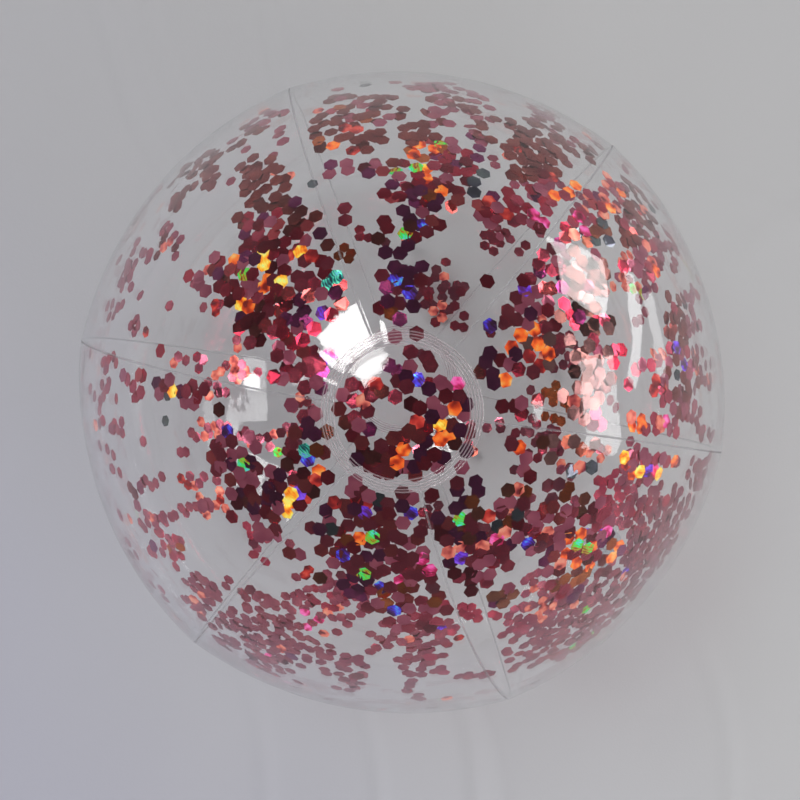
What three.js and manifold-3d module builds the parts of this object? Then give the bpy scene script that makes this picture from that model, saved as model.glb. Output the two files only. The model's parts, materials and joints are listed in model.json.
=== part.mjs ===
// Inflatable beach ball of clear film, six gores welded edge to edge, a round
// patch over each pole, a push-in mouth valve, and loose hexagon confetti.
// Units are millimetres, +Z is up along the pole axis, and the origin is the
// middle of the flat spot of the lower patch, on which the ball stands.
import * as THREE from "three";
import { mergeVertices } from "three/addons/utils/BufferGeometryUtils.js";
import Module from "manifold-3d";

const wasm = await Module();
wasm.setup();

// ---------------------------------------------------------------- dimensions
const BALL_R = 134.0;          // film radius at the middle of a gore
const SEAM_RISE = 2.0;         // extra radius at a seam, on the equator
const GORES = 6;               // number of gores
const SEAM_PHASE = 50;         // azimuth of the first seam, degrees
const FILM_T = 0.25;           // film thickness
const FIN_DEPTH = 2.2;         // depth of the welded seam edge, inside
const SEAM_GAP = 0.36;         // space between two neighbouring gores
const TIP_R = 24.0;            // horizontal radius at which the gore tips end
const GORE_ROWS = 18;          // facets along a gore
const GORE_COLS = 6;           // facets across a gore

const DISC_R = 28.3;           // pole patch radius
const DISC_T = 0.40;           // pole patch thickness
const DISC_LIFT = 0.40;        // space between the patch and the gores
const BAND_IN = 24.0;          // inner radius of the welded, ringed band
const RING_COUNT = 4;          // embossed rings in the band
const RING_H = 0.22;           // height of an embossed ring
const REST_R = 23.0;           // radius of the flat spot under the ball
const DOME = 3.0;              // rise of the upper patch inside its band
const LATHE_N = 36;            // facets around a lathe shape

const VALVE_AZ = 320;          // azimuth of the valve, in the middle of a gore
const VALVE_LAT = -24;         // latitude of the valve
const HOLE_R = 8.1;            // hole in the film for the valve
const FLANGE_R = 12.5;         // valve flange radius
const FLANGE_T = 0.5;          // valve flange thickness
const FLANGE_Z = -1.75;        // outer face of the flange, from the film
const STEM_R = 4.5;            // stem tube outside radius
const STEM_BORE = 3.2;         // stem bore radius
const LIP_R = 5.4;             // lip at the mouth of the stem
const STEM_TOP = 1.2;          // mouth of the stem, above the film
const STEM_END = -12.9;        // inner end of the stem
const CAP_R = 5.6;             // plug cap radius
const CAP_T = 1.2;             // plug cap thickness
const PIN_R = 2.8;             // plug pin radius
const PIN_L = 6.0;             // plug pin length below the cap
const FIT_GAP = 0.3;           // space between parts that touch
const STRAP_W = 3.0;           // width of the plug's strap
const STRAP_T = 0.6;           // thickness of the strap
const FLAP_R = 4.4;            // check flap radius
const FLAP_T = 0.4;            // check flap thickness

const FLAKE_AF = 5.0;          // confetti hexagon, across its flats
const FLAKE_T = 0.16;          // confetti thickness

const RAD = Math.PI / 180;
const DISC_OUT = BALL_R + DISC_LIFT + DISC_T;               // patch outer radius
const CENTRE_Z = Math.sqrt(DISC_OUT ** 2 - REST_R ** 2);    // ball centre height

// ---------------------------------------------------------------- materials
const film = (hex, opacity) => new THREE.MeshStandardMaterial({
  color: hex, roughness: 0.08, metalness: 0.0, transparent: true, opacity });
const clearFilm = () => film(0xd9dee2, 0.28);
const patchFilm = () => film(0xcfd4d9, 0.34);
const softVinyl = () => new THREE.MeshStandardMaterial({
  color: 0xcdd3d6, roughness: 0.25, metalness: 0.0, transparent: true, opacity: 0.6 });
const foil = (hex) => new THREE.MeshStandardMaterial({
  color: hex, roughness: 0.22, metalness: 0.9 });

const ball = new THREE.Group();

function put(name, geometry, material, matrix) {
  const mesh = new THREE.Mesh(geometry, material);
  mesh.name = name;
  if (matrix) mesh.applyMatrix4(matrix);
  ball.add(mesh);
  return mesh;
}

// ------------------------------------------------------------------- solids
function toSolid(geometry) {
  const g = geometry.clone();
  for (const a of Object.keys(g.attributes)) if (a !== "position") g.deleteAttribute(a);
  const m = mergeVertices(g, 1e-5);
  const index = Array.from(m.index.array);
  const tri = [];
  for (let i = 0; i < index.length; i += 3) {
    const [a, b, c] = [index[i], index[i + 1], index[i + 2]];
    if (a !== b && b !== c && c !== a) tri.push(a, b, c);
  }
  return new wasm.Manifold(new wasm.Mesh({
    numProp: 3,
    vertProperties: Float32Array.from(m.attributes.position.array),
    triVerts: Uint32Array.from(tri),
  }));
}

function toGeometry(solid) {
  const m = solid.getMesh();
  const g = new THREE.BufferGeometry();
  g.setAttribute("position", new THREE.BufferAttribute(Float32Array.from(m.vertProperties), 3));
  g.setIndex(new THREE.BufferAttribute(Uint32Array.from(m.triVerts), 1));
  g.computeVertexNormals();
  return g;
}

// A lathe profile is a list of [radius, height] about +Z, listed so that the
// solid lies to the left of the line from each point to the next.
function latheZ(points, n = LATHE_N) {
  const g = new THREE.LatheGeometry(points.map(([r, z]) => new THREE.Vector2(r, z)), n);
  g.rotateX(Math.PI / 2);
  return g;
}

// -------------------------------------------------------------------- gores
const tipLat = Math.acos(TIP_R / BALL_R);
const halfGore = Math.PI / GORES;

function filmRadius(offset, lat) {
  return BALL_R + SEAM_RISE * Math.cos(lat) ** 2 * (offset / halfGore) ** 2;
}

// The point of a gore's surface at an azimuth offset from its middle, pushed
// in by depth. Points at the edge keep a set distance from the seam plane.
function gorePoint(offset, lat, depth) {
  const r = filmRadius(offset, lat) - depth;
  return new THREE.Vector3(
    r * Math.cos(lat) * Math.cos(offset),
    r * Math.cos(lat) * Math.sin(offset),
    r * Math.sin(lat));
}

function edgePoint(side, lat, depth, inset) {
  const r = filmRadius(halfGore, lat) - depth;
  const rho = r * Math.cos(lat);
  const a = side * (halfGore - Math.asin(inset / rho));
  return new THREE.Vector3(rho * Math.cos(a), rho * Math.sin(a), r * Math.sin(lat));
}

function goreGeometry() {
  // One row runs across the outside, down the fin at +, back across the
  // inside, and up the fin at -.
  const half = SEAM_GAP / 2;
  const rows = [];
  for (let i = 0; i <= GORE_ROWS; i++) {
    const lat = -tipLat + (2 * tipLat * i) / GORE_ROWS;
    const row = [];
    row.push(edgePoint(-1, lat, 0, half));
    for (let j = 1; j < GORE_COLS; j++)
      row.push(gorePoint(halfGore * ((2 * j) / GORE_COLS - 1), lat, 0));
    row.push(edgePoint(1, lat, 0, half));
    row.push(edgePoint(1, lat, FIN_DEPTH, half));
    row.push(edgePoint(1, lat, FIN_DEPTH, half + FILM_T));
    row.push(edgePoint(1, lat, FILM_T, half + FILM_T));
    for (let j = GORE_COLS - 1; j >= 1; j--)
      row.push(gorePoint(halfGore * ((2 * j) / GORE_COLS - 1), lat, FILM_T));
    row.push(edgePoint(-1, lat, FILM_T, half + FILM_T));
    row.push(edgePoint(-1, lat, FIN_DEPTH, half + FILM_T));
    row.push(edgePoint(-1, lat, FIN_DEPTH, half));
    rows.push(row);
  }
  const n = rows[0].length;
  const pos = [];
  for (const row of rows) for (const p of row) pos.push(p.x, p.y, p.z);
  const idx = [];
  for (let i = 0; i < GORE_ROWS; i++)
    for (let j = 0; j < n; j++) {
      const a = i * n + j, b = i * n + ((j + 1) % n);
      const c = a + n, d = b + n;
      idx.push(a, b, d, a, d, c);
    }
  // end caps, as strips between the outside and the inside
  const outer = (j) => j;                              // 0 .. GORE_COLS
  const inner = (j) => GORE_COLS + 3 + (GORE_COLS - j); // matching inside point
  const quads = [];
  for (let j = 0; j < GORE_COLS; j++)
    quads.push([outer(j), outer(j + 1), inner(j + 1), inner(j)]);
  quads.push([GORE_COLS, GORE_COLS + 1, GORE_COLS + 2, GORE_COLS + 3]);
  quads.push([inner(0), inner(0) + 1, inner(0) + 2, 0]);
  for (const [base, flip] of [[0, true], [GORE_ROWS * n, false]])
    for (const [a, b, c, d] of quads) {
      const t = flip ? [a, c, b, a, d, c] : [a, b, c, a, c, d];
      idx.push(...t.map((v) => v + base));
    }
  const g = new THREE.BufferGeometry();
  g.setAttribute("position", new THREE.Float32BufferAttribute(pos, 3));
  g.setIndex(idx);
  g.computeVertexNormals();
  return g;
}

function valveMatrix() {
  const n = new THREE.Vector3(
    Math.cos(VALVE_LAT * RAD) * Math.cos(VALVE_AZ * RAD),
    Math.cos(VALVE_LAT * RAD) * Math.sin(VALVE_AZ * RAD),
    Math.sin(VALVE_LAT * RAD));
  const x = new THREE.Vector3(-Math.sin(VALVE_AZ * RAD), Math.cos(VALVE_AZ * RAD), 0);
  const y = new THREE.Vector3().crossVectors(n, x);
  const m = new THREE.Matrix4().makeBasis(x, y, n);
  m.setPosition(n.clone().multiplyScalar(BALL_R).add(new THREE.Vector3(0, 0, CENTRE_Z)));
  return m;
}
const valveAt = valveMatrix();

for (let k = 0; k < GORES; k++) {
  const azimuth = SEAM_PHASE + (k + 0.5) * (360 / GORES);
  const at = new THREE.Matrix4().makeRotationZ(azimuth * RAD)
    .premultiply(new THREE.Matrix4().makeTranslation(0, 0, CENTRE_Z));
  const gore = goreGeometry();
  const turn = ((azimuth - VALVE_AZ) % 360 + 360) % 360;
  if (turn < 1 || turn > 359) {
    // this gore has the hole for the valve
    const drill = new THREE.CylinderGeometry(HOLE_R, HOLE_R, 12, 24);
    drill.rotateX(Math.PI / 2);
    drill.applyMatrix4(valveAt);
    gore.applyMatrix4(at);
    put(`gore_${k + 1}`, toGeometry(toSolid(gore).subtract(toSolid(drill))), clearFilm());
  } else {
    put(`gore_${k + 1}`, gore, clearFilm(), at);
  }
}

// ------------------------------------------------------------- pole patches
// The outside of the patch, in the band: a sphere with small ridges.
function bandOutside() {
  const pts = [];
  const step = (DISC_R - BAND_IN) / RING_COUNT;
  const on = (r, h) => {
    const z = Math.sqrt(DISC_OUT ** 2 - r * r);
    return [r * (1 + h / DISC_OUT), z * (1 + h / DISC_OUT)];
  };
  for (let k = 0; k < RING_COUNT; k++) {
    const r = BAND_IN + 0.3 + k * step;
    pts.push(on(r, 0), on(r + step * 0.25, RING_H), on(r + step * 0.5, RING_H));
  }
  pts.push(on(DISC_R, 0));
  return pts;
}

function patchProfile(flat) {
  // from the axis out along the outside, then back along the inside
  const inR = DISC_OUT - DISC_T;
  const edgeOut = Math.sqrt(DISC_OUT ** 2 - REST_R ** 2);
  const out = [];
  if (flat) {
    out.push([0, edgeOut], [REST_R, edgeOut]);
  } else {
    for (const u of [0, 0.25, 0.5, 0.75, 1]) {
      const r = REST_R * u;
      out.push([r, edgeOut + DOME * (1 - u * u)]);
    }
  }
  out.push(...bandOutside());
  const back = [[DISC_R, Math.sqrt(inR ** 2 - DISC_R ** 2)],
    [BAND_IN, Math.sqrt(inR ** 2 - BAND_IN ** 2)]];
  if (flat) {
    back.push([REST_R - 1, edgeOut - DISC_T], [0, edgeOut - DISC_T]);
  } else {
    for (const u of [1, 0.75, 0.5, 0.25, 0]) {
      const r = (REST_R - 0.4) * u;
      back.push([r, edgeOut - DISC_T + DOME * (1 - u * u) - (u === 1 ? 0 : 0)]);
    }
  }
  return out.concat(back);
}

{
  const up = new THREE.Matrix4().makeTranslation(0, 0, CENTRE_Z);
  const top = latheZ(patchProfile(false).reverse());
  put("pole_patch_top", top, patchFilm(), up);
  const under = latheZ(patchProfile(true).reverse());
  under.rotateX(Math.PI);
  put("pole_patch_bottom", under, patchFilm(), up);
}

// -------------------------------------------------------------------- valve
// Drawn about +Z, which points out of the ball, from the film's outer face.
{
  const drop = (r) => (r * r) / (2 * BALL_R);
  put("valve_flange", latheZ([
    [HOLE_R - 0.1, FLANGE_Z - drop(HOLE_R) - FLANGE_T],
    [FLANGE_R, FLANGE_Z - drop(FLANGE_R) - FLANGE_T],
    [FLANGE_R, FLANGE_Z - drop(FLANGE_R)],
    [HOLE_R - 0.1, FLANGE_Z - drop(HOLE_R)],
    [HOLE_R - 0.1, FLANGE_Z - drop(HOLE_R) - FLANGE_T],
  ], 24), softVinyl(), valveAt);

  // thin rolling web between the flange and the foot of the stem
  const w0 = HOLE_R - 0.1 - FIT_GAP, z0 = FLANGE_Z - drop(HOLE_R);
  const w1 = STEM_R + FIT_GAP;
  put("valve_web", latheZ([
    [w1, -10.4], [w1 + 0.9, -10.8], [w1 + 1.9, -9.6], [w0, z0 - 0.1],
    [w0 - 0.45, z0 - 0.1], [w1 + 1.5, -9.4], [w1 + 0.8, -10.2], [w1, -9.8], [w1, -10.4],
  ], 24), softVinyl(), valveAt);

  put("valve_stem", latheZ([
    [STEM_BORE, STEM_END], [STEM_R, STEM_END], [STEM_R, STEM_TOP - 1.6],
    [LIP_R, STEM_TOP - 1.2], [LIP_R, STEM_TOP - 0.2], [LIP_R - 0.2, STEM_TOP],
    [STEM_BORE + 0.2, STEM_TOP], [STEM_BORE, STEM_TOP - 0.2], [STEM_BORE, STEM_END],
  ], 24), softVinyl(), valveAt);

  const capZ = STEM_TOP + FIT_GAP;
  put("valve_plug", latheZ([
    [0, capZ - PIN_L], [PIN_R - 0.5, capZ - PIN_L], [PIN_R, capZ - PIN_L + 0.6],
    [PIN_R, capZ], [CAP_R, capZ], [CAP_R, capZ + CAP_T - 0.3],
    [CAP_R - 0.3, capZ + CAP_T], [0, capZ + CAP_T],
  ], 24), softVinyl(), valveAt);

  // strap: a flat loop from the cap's side round to the lip's side
  const r0 = CAP_R + FIT_GAP, r1 = 9.4;
  const zc = (capZ + CAP_T / 2 + STEM_TOP - 0.7) / 2;
  const h = (capZ + CAP_T / 2 - (STEM_TOP - 0.7)) / 2;
  const s = new THREE.Shape();
  const N = 8;
  s.moveTo(r0, zc + h + STRAP_T / 2);
  for (let i = 0; i <= N; i++) {
    const a = Math.PI / 2 - (Math.PI * i) / N;
    s.lineTo(r1 - h + (h + STRAP_T / 2) * Math.cos(a), zc + (h + STRAP_T / 2) * Math.sin(a));
  }
  s.lineTo(r0, zc - h - STRAP_T / 2);
  s.lineTo(r0, zc - h + STRAP_T / 2);
  for (let i = N; i >= 0; i--) {
    const a = Math.PI / 2 - (Math.PI * i) / N;
    s.lineTo(r1 - h + (h - STRAP_T / 2) * Math.cos(a), zc + (h - STRAP_T / 2) * Math.sin(a));
  }
  s.lineTo(r0, zc + h - STRAP_T / 2);
  const strap = new THREE.ExtrudeGeometry(s, { depth: STRAP_W, bevelEnabled: false, curveSegments: 1 });
  strap.translate(0, 0, -STRAP_W / 2);
  strap.rotateX(Math.PI / 2);            // shape's y becomes z
  put("plug_strap", strap, softVinyl(), valveAt);

  // one-way flap over the inner end, hinged at its upper edge
  const f = new THREE.Shape();
  const M = 20;
  for (let i = 0; i <= M; i++) {
    const a = Math.PI / 2 + 0.42 + ((2 * Math.PI - 0.84) * i) / M;
    const p = [FLAP_R * Math.cos(a), FLAP_R * Math.sin(a)];
    if (i === 0) f.moveTo(...p); else f.lineTo(...p);
  }
  f.lineTo(1.5, FLAP_R + 0.35);
  f.lineTo(-1.5, FLAP_R + 0.35);
  const flap = new THREE.ExtrudeGeometry(f, { depth: FLAP_T, bevelEnabled: false, curveSegments: 1 });
  flap.translate(0, 0, STEM_END - FIT_GAP - FLAP_T);
  put("check_flap", flap, softVinyl(), valveAt);
}

// ----------------------------------------------------------------- confetti
// Loose foil hexagons cling to the inside of the film in small rafts. A raft
// is one piece here, of flakes that lap over each other, just off the film.
const RAFTS = [
  // azimuth, latitude, turn, flakes as [column, row] on a hexagon lattice, colour
  [262, 68, 10, [[0, 0], [1, 0], [0, 1], [-1, 1], [1, -1], [2, -1]], 0x4a2430],
  [138, 52, 40, [[0, 0], [1, 0], [-1, 0], [0, 1], [1, 1], [-1, -1]], 0x5a2a2c],
  [84, 34, 75, [[0, 0], [1, 0], [2, 0], [0, -1], [1, -1], [-1, 1]], 0x6b3040],
  [22, 38, 5, [[0, 0], [0, 1], [1, -1], [-1, 0], [1, 0], [2, -2]], 0x503048],
  [318, 36, 50, [[0, 0], [1, 0], [0, 1], [1, 1], [-1, 1], [2, 0]], 0x5c2c34],
  [262, 40, 25, [[0, 0], [-1, 0], [0, -1], [1, -1], [1, 0], [-1, 1]], 0x4c2a3c],
  [202, 30, 90, [[0, 0], [1, 0], [0, 1], [-1, 0], [-1, 1], [2, -1]], 0x563038],
  [142, -8, 15, [[0, 0], [1, 0], [1, -1], [0, 1], [-1, 1], [-2, 1]], 0x70444c],
  [22, -12, 60, [[0, 0], [-1, 0], [0, 1], [1, 0], [0, -1], [1, -2]], 0x6a3c48],
  [80, -44, 33, [[0, 0], [1, 0], [0, 1], [1, 1], [-1, 0], [0, -1]], 0x643844],
  [198, -48, 70, [[0, 0], [0, 1], [-1, 1], [1, 0], [1, -1], [2, -1]], 0x5e343e],
  [300, -58, 20, [[0, 0], [1, 0], [-1, 1], [0, 1], [1, -1], [0, -1]], 0x68404a],
];

RAFTS.forEach(([az, lat, turn, cells, hex], i) => {
  const pitch = FLAKE_AF - 0.7;          // the flakes lap by 0.7
  let raft = null;
  cells.forEach(([c, r], k) => {
    const flake = new THREE.CylinderGeometry(
      FLAKE_AF / Math.sqrt(3), FLAKE_AF / Math.sqrt(3), FLAKE_T, 6);
    flake.rotateX(Math.PI / 2);
    flake.rotateZ((((k * 37 + i * 11) % 17) - 8) * 0.6 * RAD);
    flake.translate(
      pitch * (c + r / 2) + ((k * 13 + i * 7) % 5 - 2) * 0.07,
      pitch * r * 0.866 + ((k * 29 + i * 3) % 7 - 3) * 0.05,
      (k % 3) * 0.045);
    const solid = toSolid(flake);
    raft = raft ? raft.add(solid) : solid;
  });
  const n = new THREE.Vector3(Math.cos(lat * RAD) * Math.cos(az * RAD),
    Math.cos(lat * RAD) * Math.sin(az * RAD), Math.sin(lat * RAD));
  const x = new THREE.Vector3(-Math.sin(az * RAD), Math.cos(az * RAD), 0);
  const y = new THREE.Vector3().crossVectors(n, x);
  const at = new THREE.Matrix4().makeBasis(x, y, n);
  at.setPosition(n.clone().multiplyScalar(BALL_R - 3.0).add(new THREE.Vector3(0, 0, CENTRE_Z)));
  at.multiply(new THREE.Matrix4().makeRotationZ(turn * RAD));
  put(`confetti_${String(i + 1).padStart(2, "0")}`, toGeometry(raft), foil(hex), at);
});

export default ball;
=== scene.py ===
"""Looks for the inflatable beach ball: clear film, pole patches, push-in valve and foil confetti.

Everything is in metres in the CAD's own frame: +Z is the pole axis, z = 0 is the surface the ball stands on.
"""
import json
import math
import random

import bmesh
import bpy
import numpy as np
from mathutils import Matrix, Quaternion, Vector


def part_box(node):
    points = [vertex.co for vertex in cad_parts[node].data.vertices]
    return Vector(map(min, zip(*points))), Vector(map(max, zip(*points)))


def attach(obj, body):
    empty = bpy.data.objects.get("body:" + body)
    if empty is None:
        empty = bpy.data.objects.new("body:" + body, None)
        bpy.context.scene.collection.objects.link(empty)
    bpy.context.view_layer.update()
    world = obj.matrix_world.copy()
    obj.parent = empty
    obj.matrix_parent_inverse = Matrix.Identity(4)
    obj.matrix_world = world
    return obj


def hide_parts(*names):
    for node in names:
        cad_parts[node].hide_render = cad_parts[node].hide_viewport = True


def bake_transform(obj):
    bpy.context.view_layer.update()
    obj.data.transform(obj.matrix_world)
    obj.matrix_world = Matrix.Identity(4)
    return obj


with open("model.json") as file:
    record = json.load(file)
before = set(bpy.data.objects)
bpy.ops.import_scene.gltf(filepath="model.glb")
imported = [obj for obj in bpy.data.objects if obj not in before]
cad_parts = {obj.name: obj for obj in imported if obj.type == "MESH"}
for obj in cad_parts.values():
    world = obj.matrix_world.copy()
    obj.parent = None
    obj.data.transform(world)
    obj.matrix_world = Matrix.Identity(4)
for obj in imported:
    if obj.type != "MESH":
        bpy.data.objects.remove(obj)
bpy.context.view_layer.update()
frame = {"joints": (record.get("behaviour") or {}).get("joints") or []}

MM = 0.001
scene = bpy.context.scene
scene.view_settings.view_transform = "Standard"
scene.view_settings.look = "None"
scene.cycles.max_bounces = 10
scene.cycles.diffuse_bounces = 3
scene.cycles.glossy_bounces = 4
scene.cycles.transparent_max_bounces = 64
scene.cycles.caustics_reflective = False
scene.cycles.caustics_refractive = False

# ------------------------------------------------------------------ the ball
R = 134.0 * MM                    # film radius at the middle of a gore
SEAM_RISE = 2.0 * MM              # extra radius at a seam, on the equator
GORES = 6
PHASE = math.radians(50)          # azimuth of the first seam
HALF = math.pi / GORES
FILM = 0.22 * MM
FIN = 2.2 * MM                    # depth of the welded edge inside the ball
SHOULDER = 0.34 * MM              # bend from the film down into the weld
PATCH_R = 28.3 * MM
PATCH_OUT = 134.8 * MM            # outer radius of a patch, where it is round
REST_R = 23.0 * MM                # flat spot under the ball
TIP_R = 24.0 * MM                 # where the gore tips end, under the patch
DOME = 3.0 * MM

lo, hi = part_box("gore_2")
CZ = (lo.z + hi.z) / 2            # height of the ball's centre
CENTRE = Vector((0, 0, CZ))
valve_joint = next(j for j in frame["joints"] if j["name"] == "valve_pop")
VN = Vector(valve_joint["axis"]).normalized()
VX = Vector((-VN.y, VN.x, 0)).normalized()
VY = VN.cross(VX)
VALVE = Matrix((VX, VY, VN)).transposed().to_4x4()
VALVE.translation = CENTRE + VN * R
VALVE_INV = VALVE.inverted()

# ------------------------------------------------------------------- camera
CAM_DIST = 5.0 * R
TILT = math.radians(2.8)
cam_data = bpy.data.cameras.new("camera")
cam_data.lens = 70.6
cam_data.sensor_width = 36.0
cam_data.clip_start = 0.01
cam_data.clip_end = 50
camera = bpy.data.objects.new("camera", cam_data)
scene.collection.objects.link(camera)
view_from = Vector((0, math.sin(TILT), math.cos(TILT)))
camera.location = CENTRE + view_from * CAM_DIST
aim = CENTRE + Vector((-0.85 * MM, -3.0 * MM, 0))
back = (camera.location - aim).normalized()
side = Vector((0, 1, 0)).cross(back).normalized()
up = back.cross(side)
camera.matrix_world = Matrix((side, up, back)).transposed().to_4x4()
camera.matrix_world.translation = CENTRE + view_from * CAM_DIST
scene.camera = camera


# ---------------------------------------------------------------- materials
def new_material(name):
    m = bpy.data.materials.new(name)
    m.use_nodes = True
    nt = m.node_tree
    nt.nodes.clear()
    out = nt.nodes.new("ShaderNodeOutputMaterial")
    return m, nt, out


def node(nt, kind, **values):
    n = nt.nodes.new(kind)
    for k, v in values.items():
        if hasattr(n, k):
            setattr(n, k, v)
        else:
            n.inputs[k.replace("_", " ")].default_value = v
    return n


def maths(nt, op, a, b=None, clamp=False):
    n = nt.nodes.new("ShaderNodeMath")
    n.operation = op
    n.use_clamp = clamp
    for i, v in enumerate((a, b)):
        if v is None:
            continue
        if isinstance(v, (int, float)):
            n.inputs[i].default_value = v
        else:
            nt.links.new(v, n.inputs[i])
    return n.outputs[0]


def grazing(nt, low, power=5.0, high=1.0):
    """How much a face mirrors: low seen square on, rising to high edge on."""
    lw = node(nt, "ShaderNodeLayerWeight")
    lw.inputs["Blend"].default_value = 0.5
    p = maths(nt, "POWER", lw.outputs["Facing"], power)
    s = maths(nt, "MULTIPLY", p, high - low)
    return maths(nt, "ADD", s, low, clamp=True)


def object_coords(nt):
    return node(nt, "ShaderNodeTexCoord").outputs["Object"]


def noise(nt, vector, scale, detail=2.0, rough=0.5):
    n = node(nt, "ShaderNodeTexNoise")
    n.inputs["Scale"].default_value = scale
    n.inputs["Detail"].default_value = detail
    n.inputs["Roughness"].default_value = rough
    nt.links.new(vector, n.inputs["Vector"])
    return n


def bump(nt, height, strength, distance):
    b = node(nt, "ShaderNodeBump")
    b.inputs["Strength"].default_value = strength
    b.inputs["Distance"].default_value = distance
    nt.links.new(height, b.inputs["Height"])
    return b.outputs["Normal"]


def ramp(nt, fac, stops, mode="LINEAR"):
    r = nt.nodes.new("ShaderNodeValToRGB")
    r.color_ramp.interpolation = mode
    el = r.color_ramp.elements
    while len(el) > 1:
        el.remove(el[-1])
    el[0].position = stops[0][0]
    el[0].color = (*stops[0][1], 1)
    for p, c in stops[1:]:
        e = el.new(p)
        e.color = (*c, 1)
    nt.links.new(fac, r.inputs["Fac"])
    return r.outputs["Color"]


def let_lamps_through(nt, shader, out, colour):
    """Light that crosses a thin clear wall is hardly dimmed, so its shadow is given as a plain tint."""
    lamp = node(nt, "ShaderNodeBsdfTransparent")
    lamp.inputs["Color"].default_value = (*colour, 1)
    path = node(nt, "ShaderNodeLightPath")
    mix = node(nt, "ShaderNodeMixShader")
    nt.links.new(path.outputs["Is Shadow Ray"], mix.inputs["Fac"])
    nt.links.new(shader, mix.inputs[1])
    nt.links.new(lamp.outputs[0], mix.inputs[2])
    nt.links.new(mix.outputs[0], out.inputs["Surface"])


def clear_vinyl(name, mirror, haze, haze_edge, tint=(1, 1, 1), rough=0.03, waves=0.25, body=(0.8, 0.82, 0.85),
                shade=(0.997, 0.997, 0.997), high=0.85, power=4.8):
    """Thin clear film: what is behind shows straight through, less what each face mirrors, with a little haze."""
    m, nt, out = new_material(name)
    vec = object_coords(nt)
    fine = noise(nt, vec, 260.0, 3.0)
    broad = noise(nt, vec, 34.0, 2.0)
    height = maths(nt, "ADD", maths(nt, "MULTIPLY", broad.outputs["Fac"], 1.0),
                   maths(nt, "MULTIPLY", fine.outputs["Fac"], 0.07))
    normal = bump(nt, height, waves, 0.0012)
    see = node(nt, "ShaderNodeBsdfTransparent")
    see.inputs["Color"].default_value = (*tint, 1)
    shine = node(nt, "ShaderNodeBsdfGlossy")
    shine.inputs["Color"].default_value = (1, 1, 1, 1)
    shine.inputs["Roughness"].default_value = rough
    nt.links.new(normal, shine.inputs["Normal"])
    mix = node(nt, "ShaderNodeMixShader")
    nt.links.new(grazing(nt, mirror, power, high), mix.inputs["Fac"])
    nt.links.new(see.outputs[0], mix.inputs[1])
    nt.links.new(shine.outputs[0], mix.inputs[2])
    milk = node(nt, "ShaderNodeBsdfDiffuse")
    milk.inputs["Color"].default_value = (*body, 1)
    # scuffs and dust: the haze is a little uneven
    scuff = noise(nt, vec, 75.0, 5.0, 0.65)
    uneven = maths(nt, "MULTIPLY_ADD", scuff.outputs["Fac"], 0.9)
    uneven.node.inputs[2].default_value = 0.55
    amount = maths(nt, "MULTIPLY", grazing(nt, haze, 3.0, haze_edge), uneven, clamp=True)
    over = node(nt, "ShaderNodeMixShader")
    nt.links.new(amount, over.inputs["Fac"])
    nt.links.new(mix.outputs[0], over.inputs[1])
    nt.links.new(milk.outputs[0], over.inputs[2])
    let_lamps_through(nt, over.outputs[0], out, shade)
    return m


film_mat = clear_vinyl("clear_film", 0.037, 0.003, 0.085)
fin_mat = clear_vinyl("weld_fin", 0.015, 0.008, 0.07, tint=(0.985, 0.985, 0.988), rough=0.1, high=0.28)
weld_mat = clear_vinyl("welded_edge", 0.05, 0.20, 0.27, tint=(0.925, 0.925, 0.93), rough=0.14, waves=0.5,
                       body=(0.60, 0.57, 0.59), high=0.36)
patch_mat = clear_vinyl("patch_film", 0.036, 0.002, 0.08, waves=0.4)
ring_mat = clear_vinyl("ring_weld", 0.10, 0.30, 0.5, tint=(0.95, 0.93, 0.94), rough=0.1, waves=0.3,
                       body=(0.84, 0.70, 0.74))


def soft_vinyl(name, solid, rough):
    m, nt, out = new_material(name)
    vec = object_coords(nt)
    grain = noise(nt, vec, 900.0, 3.0)
    flow = noise(nt, vec, 160.0, 2.0)
    p = node(nt, "ShaderNodeBsdfPrincipled")
    nt.links.new(ramp(nt, flow.outputs["Fac"], [(0.3, (0.70, 0.73, 0.77)), (0.7, (0.80, 0.82, 0.84))]),
                 p.inputs["Base Color"])
    p.inputs["Roughness"].default_value = rough
    p.inputs["Specular IOR Level"].default_value = 0.6
    p.inputs["Coat Weight"].default_value = 0.35
    p.inputs["Coat Roughness"].default_value = 0.12
    nt.links.new(bump(nt, grain.outputs["Fac"], 0.18, 0.0003), p.inputs["Normal"])
    see = node(nt, "ShaderNodeBsdfTransparent")
    see.inputs["Color"].default_value = (0.97, 0.975, 0.98, 1)
    mix = node(nt, "ShaderNodeMixShader")
    nt.links.new(grazing(nt, solid, 3.0, 0.6), mix.inputs["Fac"])
    nt.links.new(see.outputs[0], mix.inputs[1])
    nt.links.new(p.outputs[0], mix.inputs[2])
    let_lamps_through(nt, mix.outputs[0], out, (0.9, 0.9, 0.9))
    return m


vinyl_mat = soft_vinyl("soft_vinyl", 0.13, 0.2)
web_mat = soft_vinyl("soft_vinyl_thin", 0.03, 0.22)


def rgb(r, g, b):
    """A colour given as 0 to 255, as a linear one."""
    def lin(v):
        v /= 255.0
        return v / 12.92 if v <= 0.04045 else ((v + 0.055) / 1.055) ** 2.4
    return lin(r), lin(g), lin(b)


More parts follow.
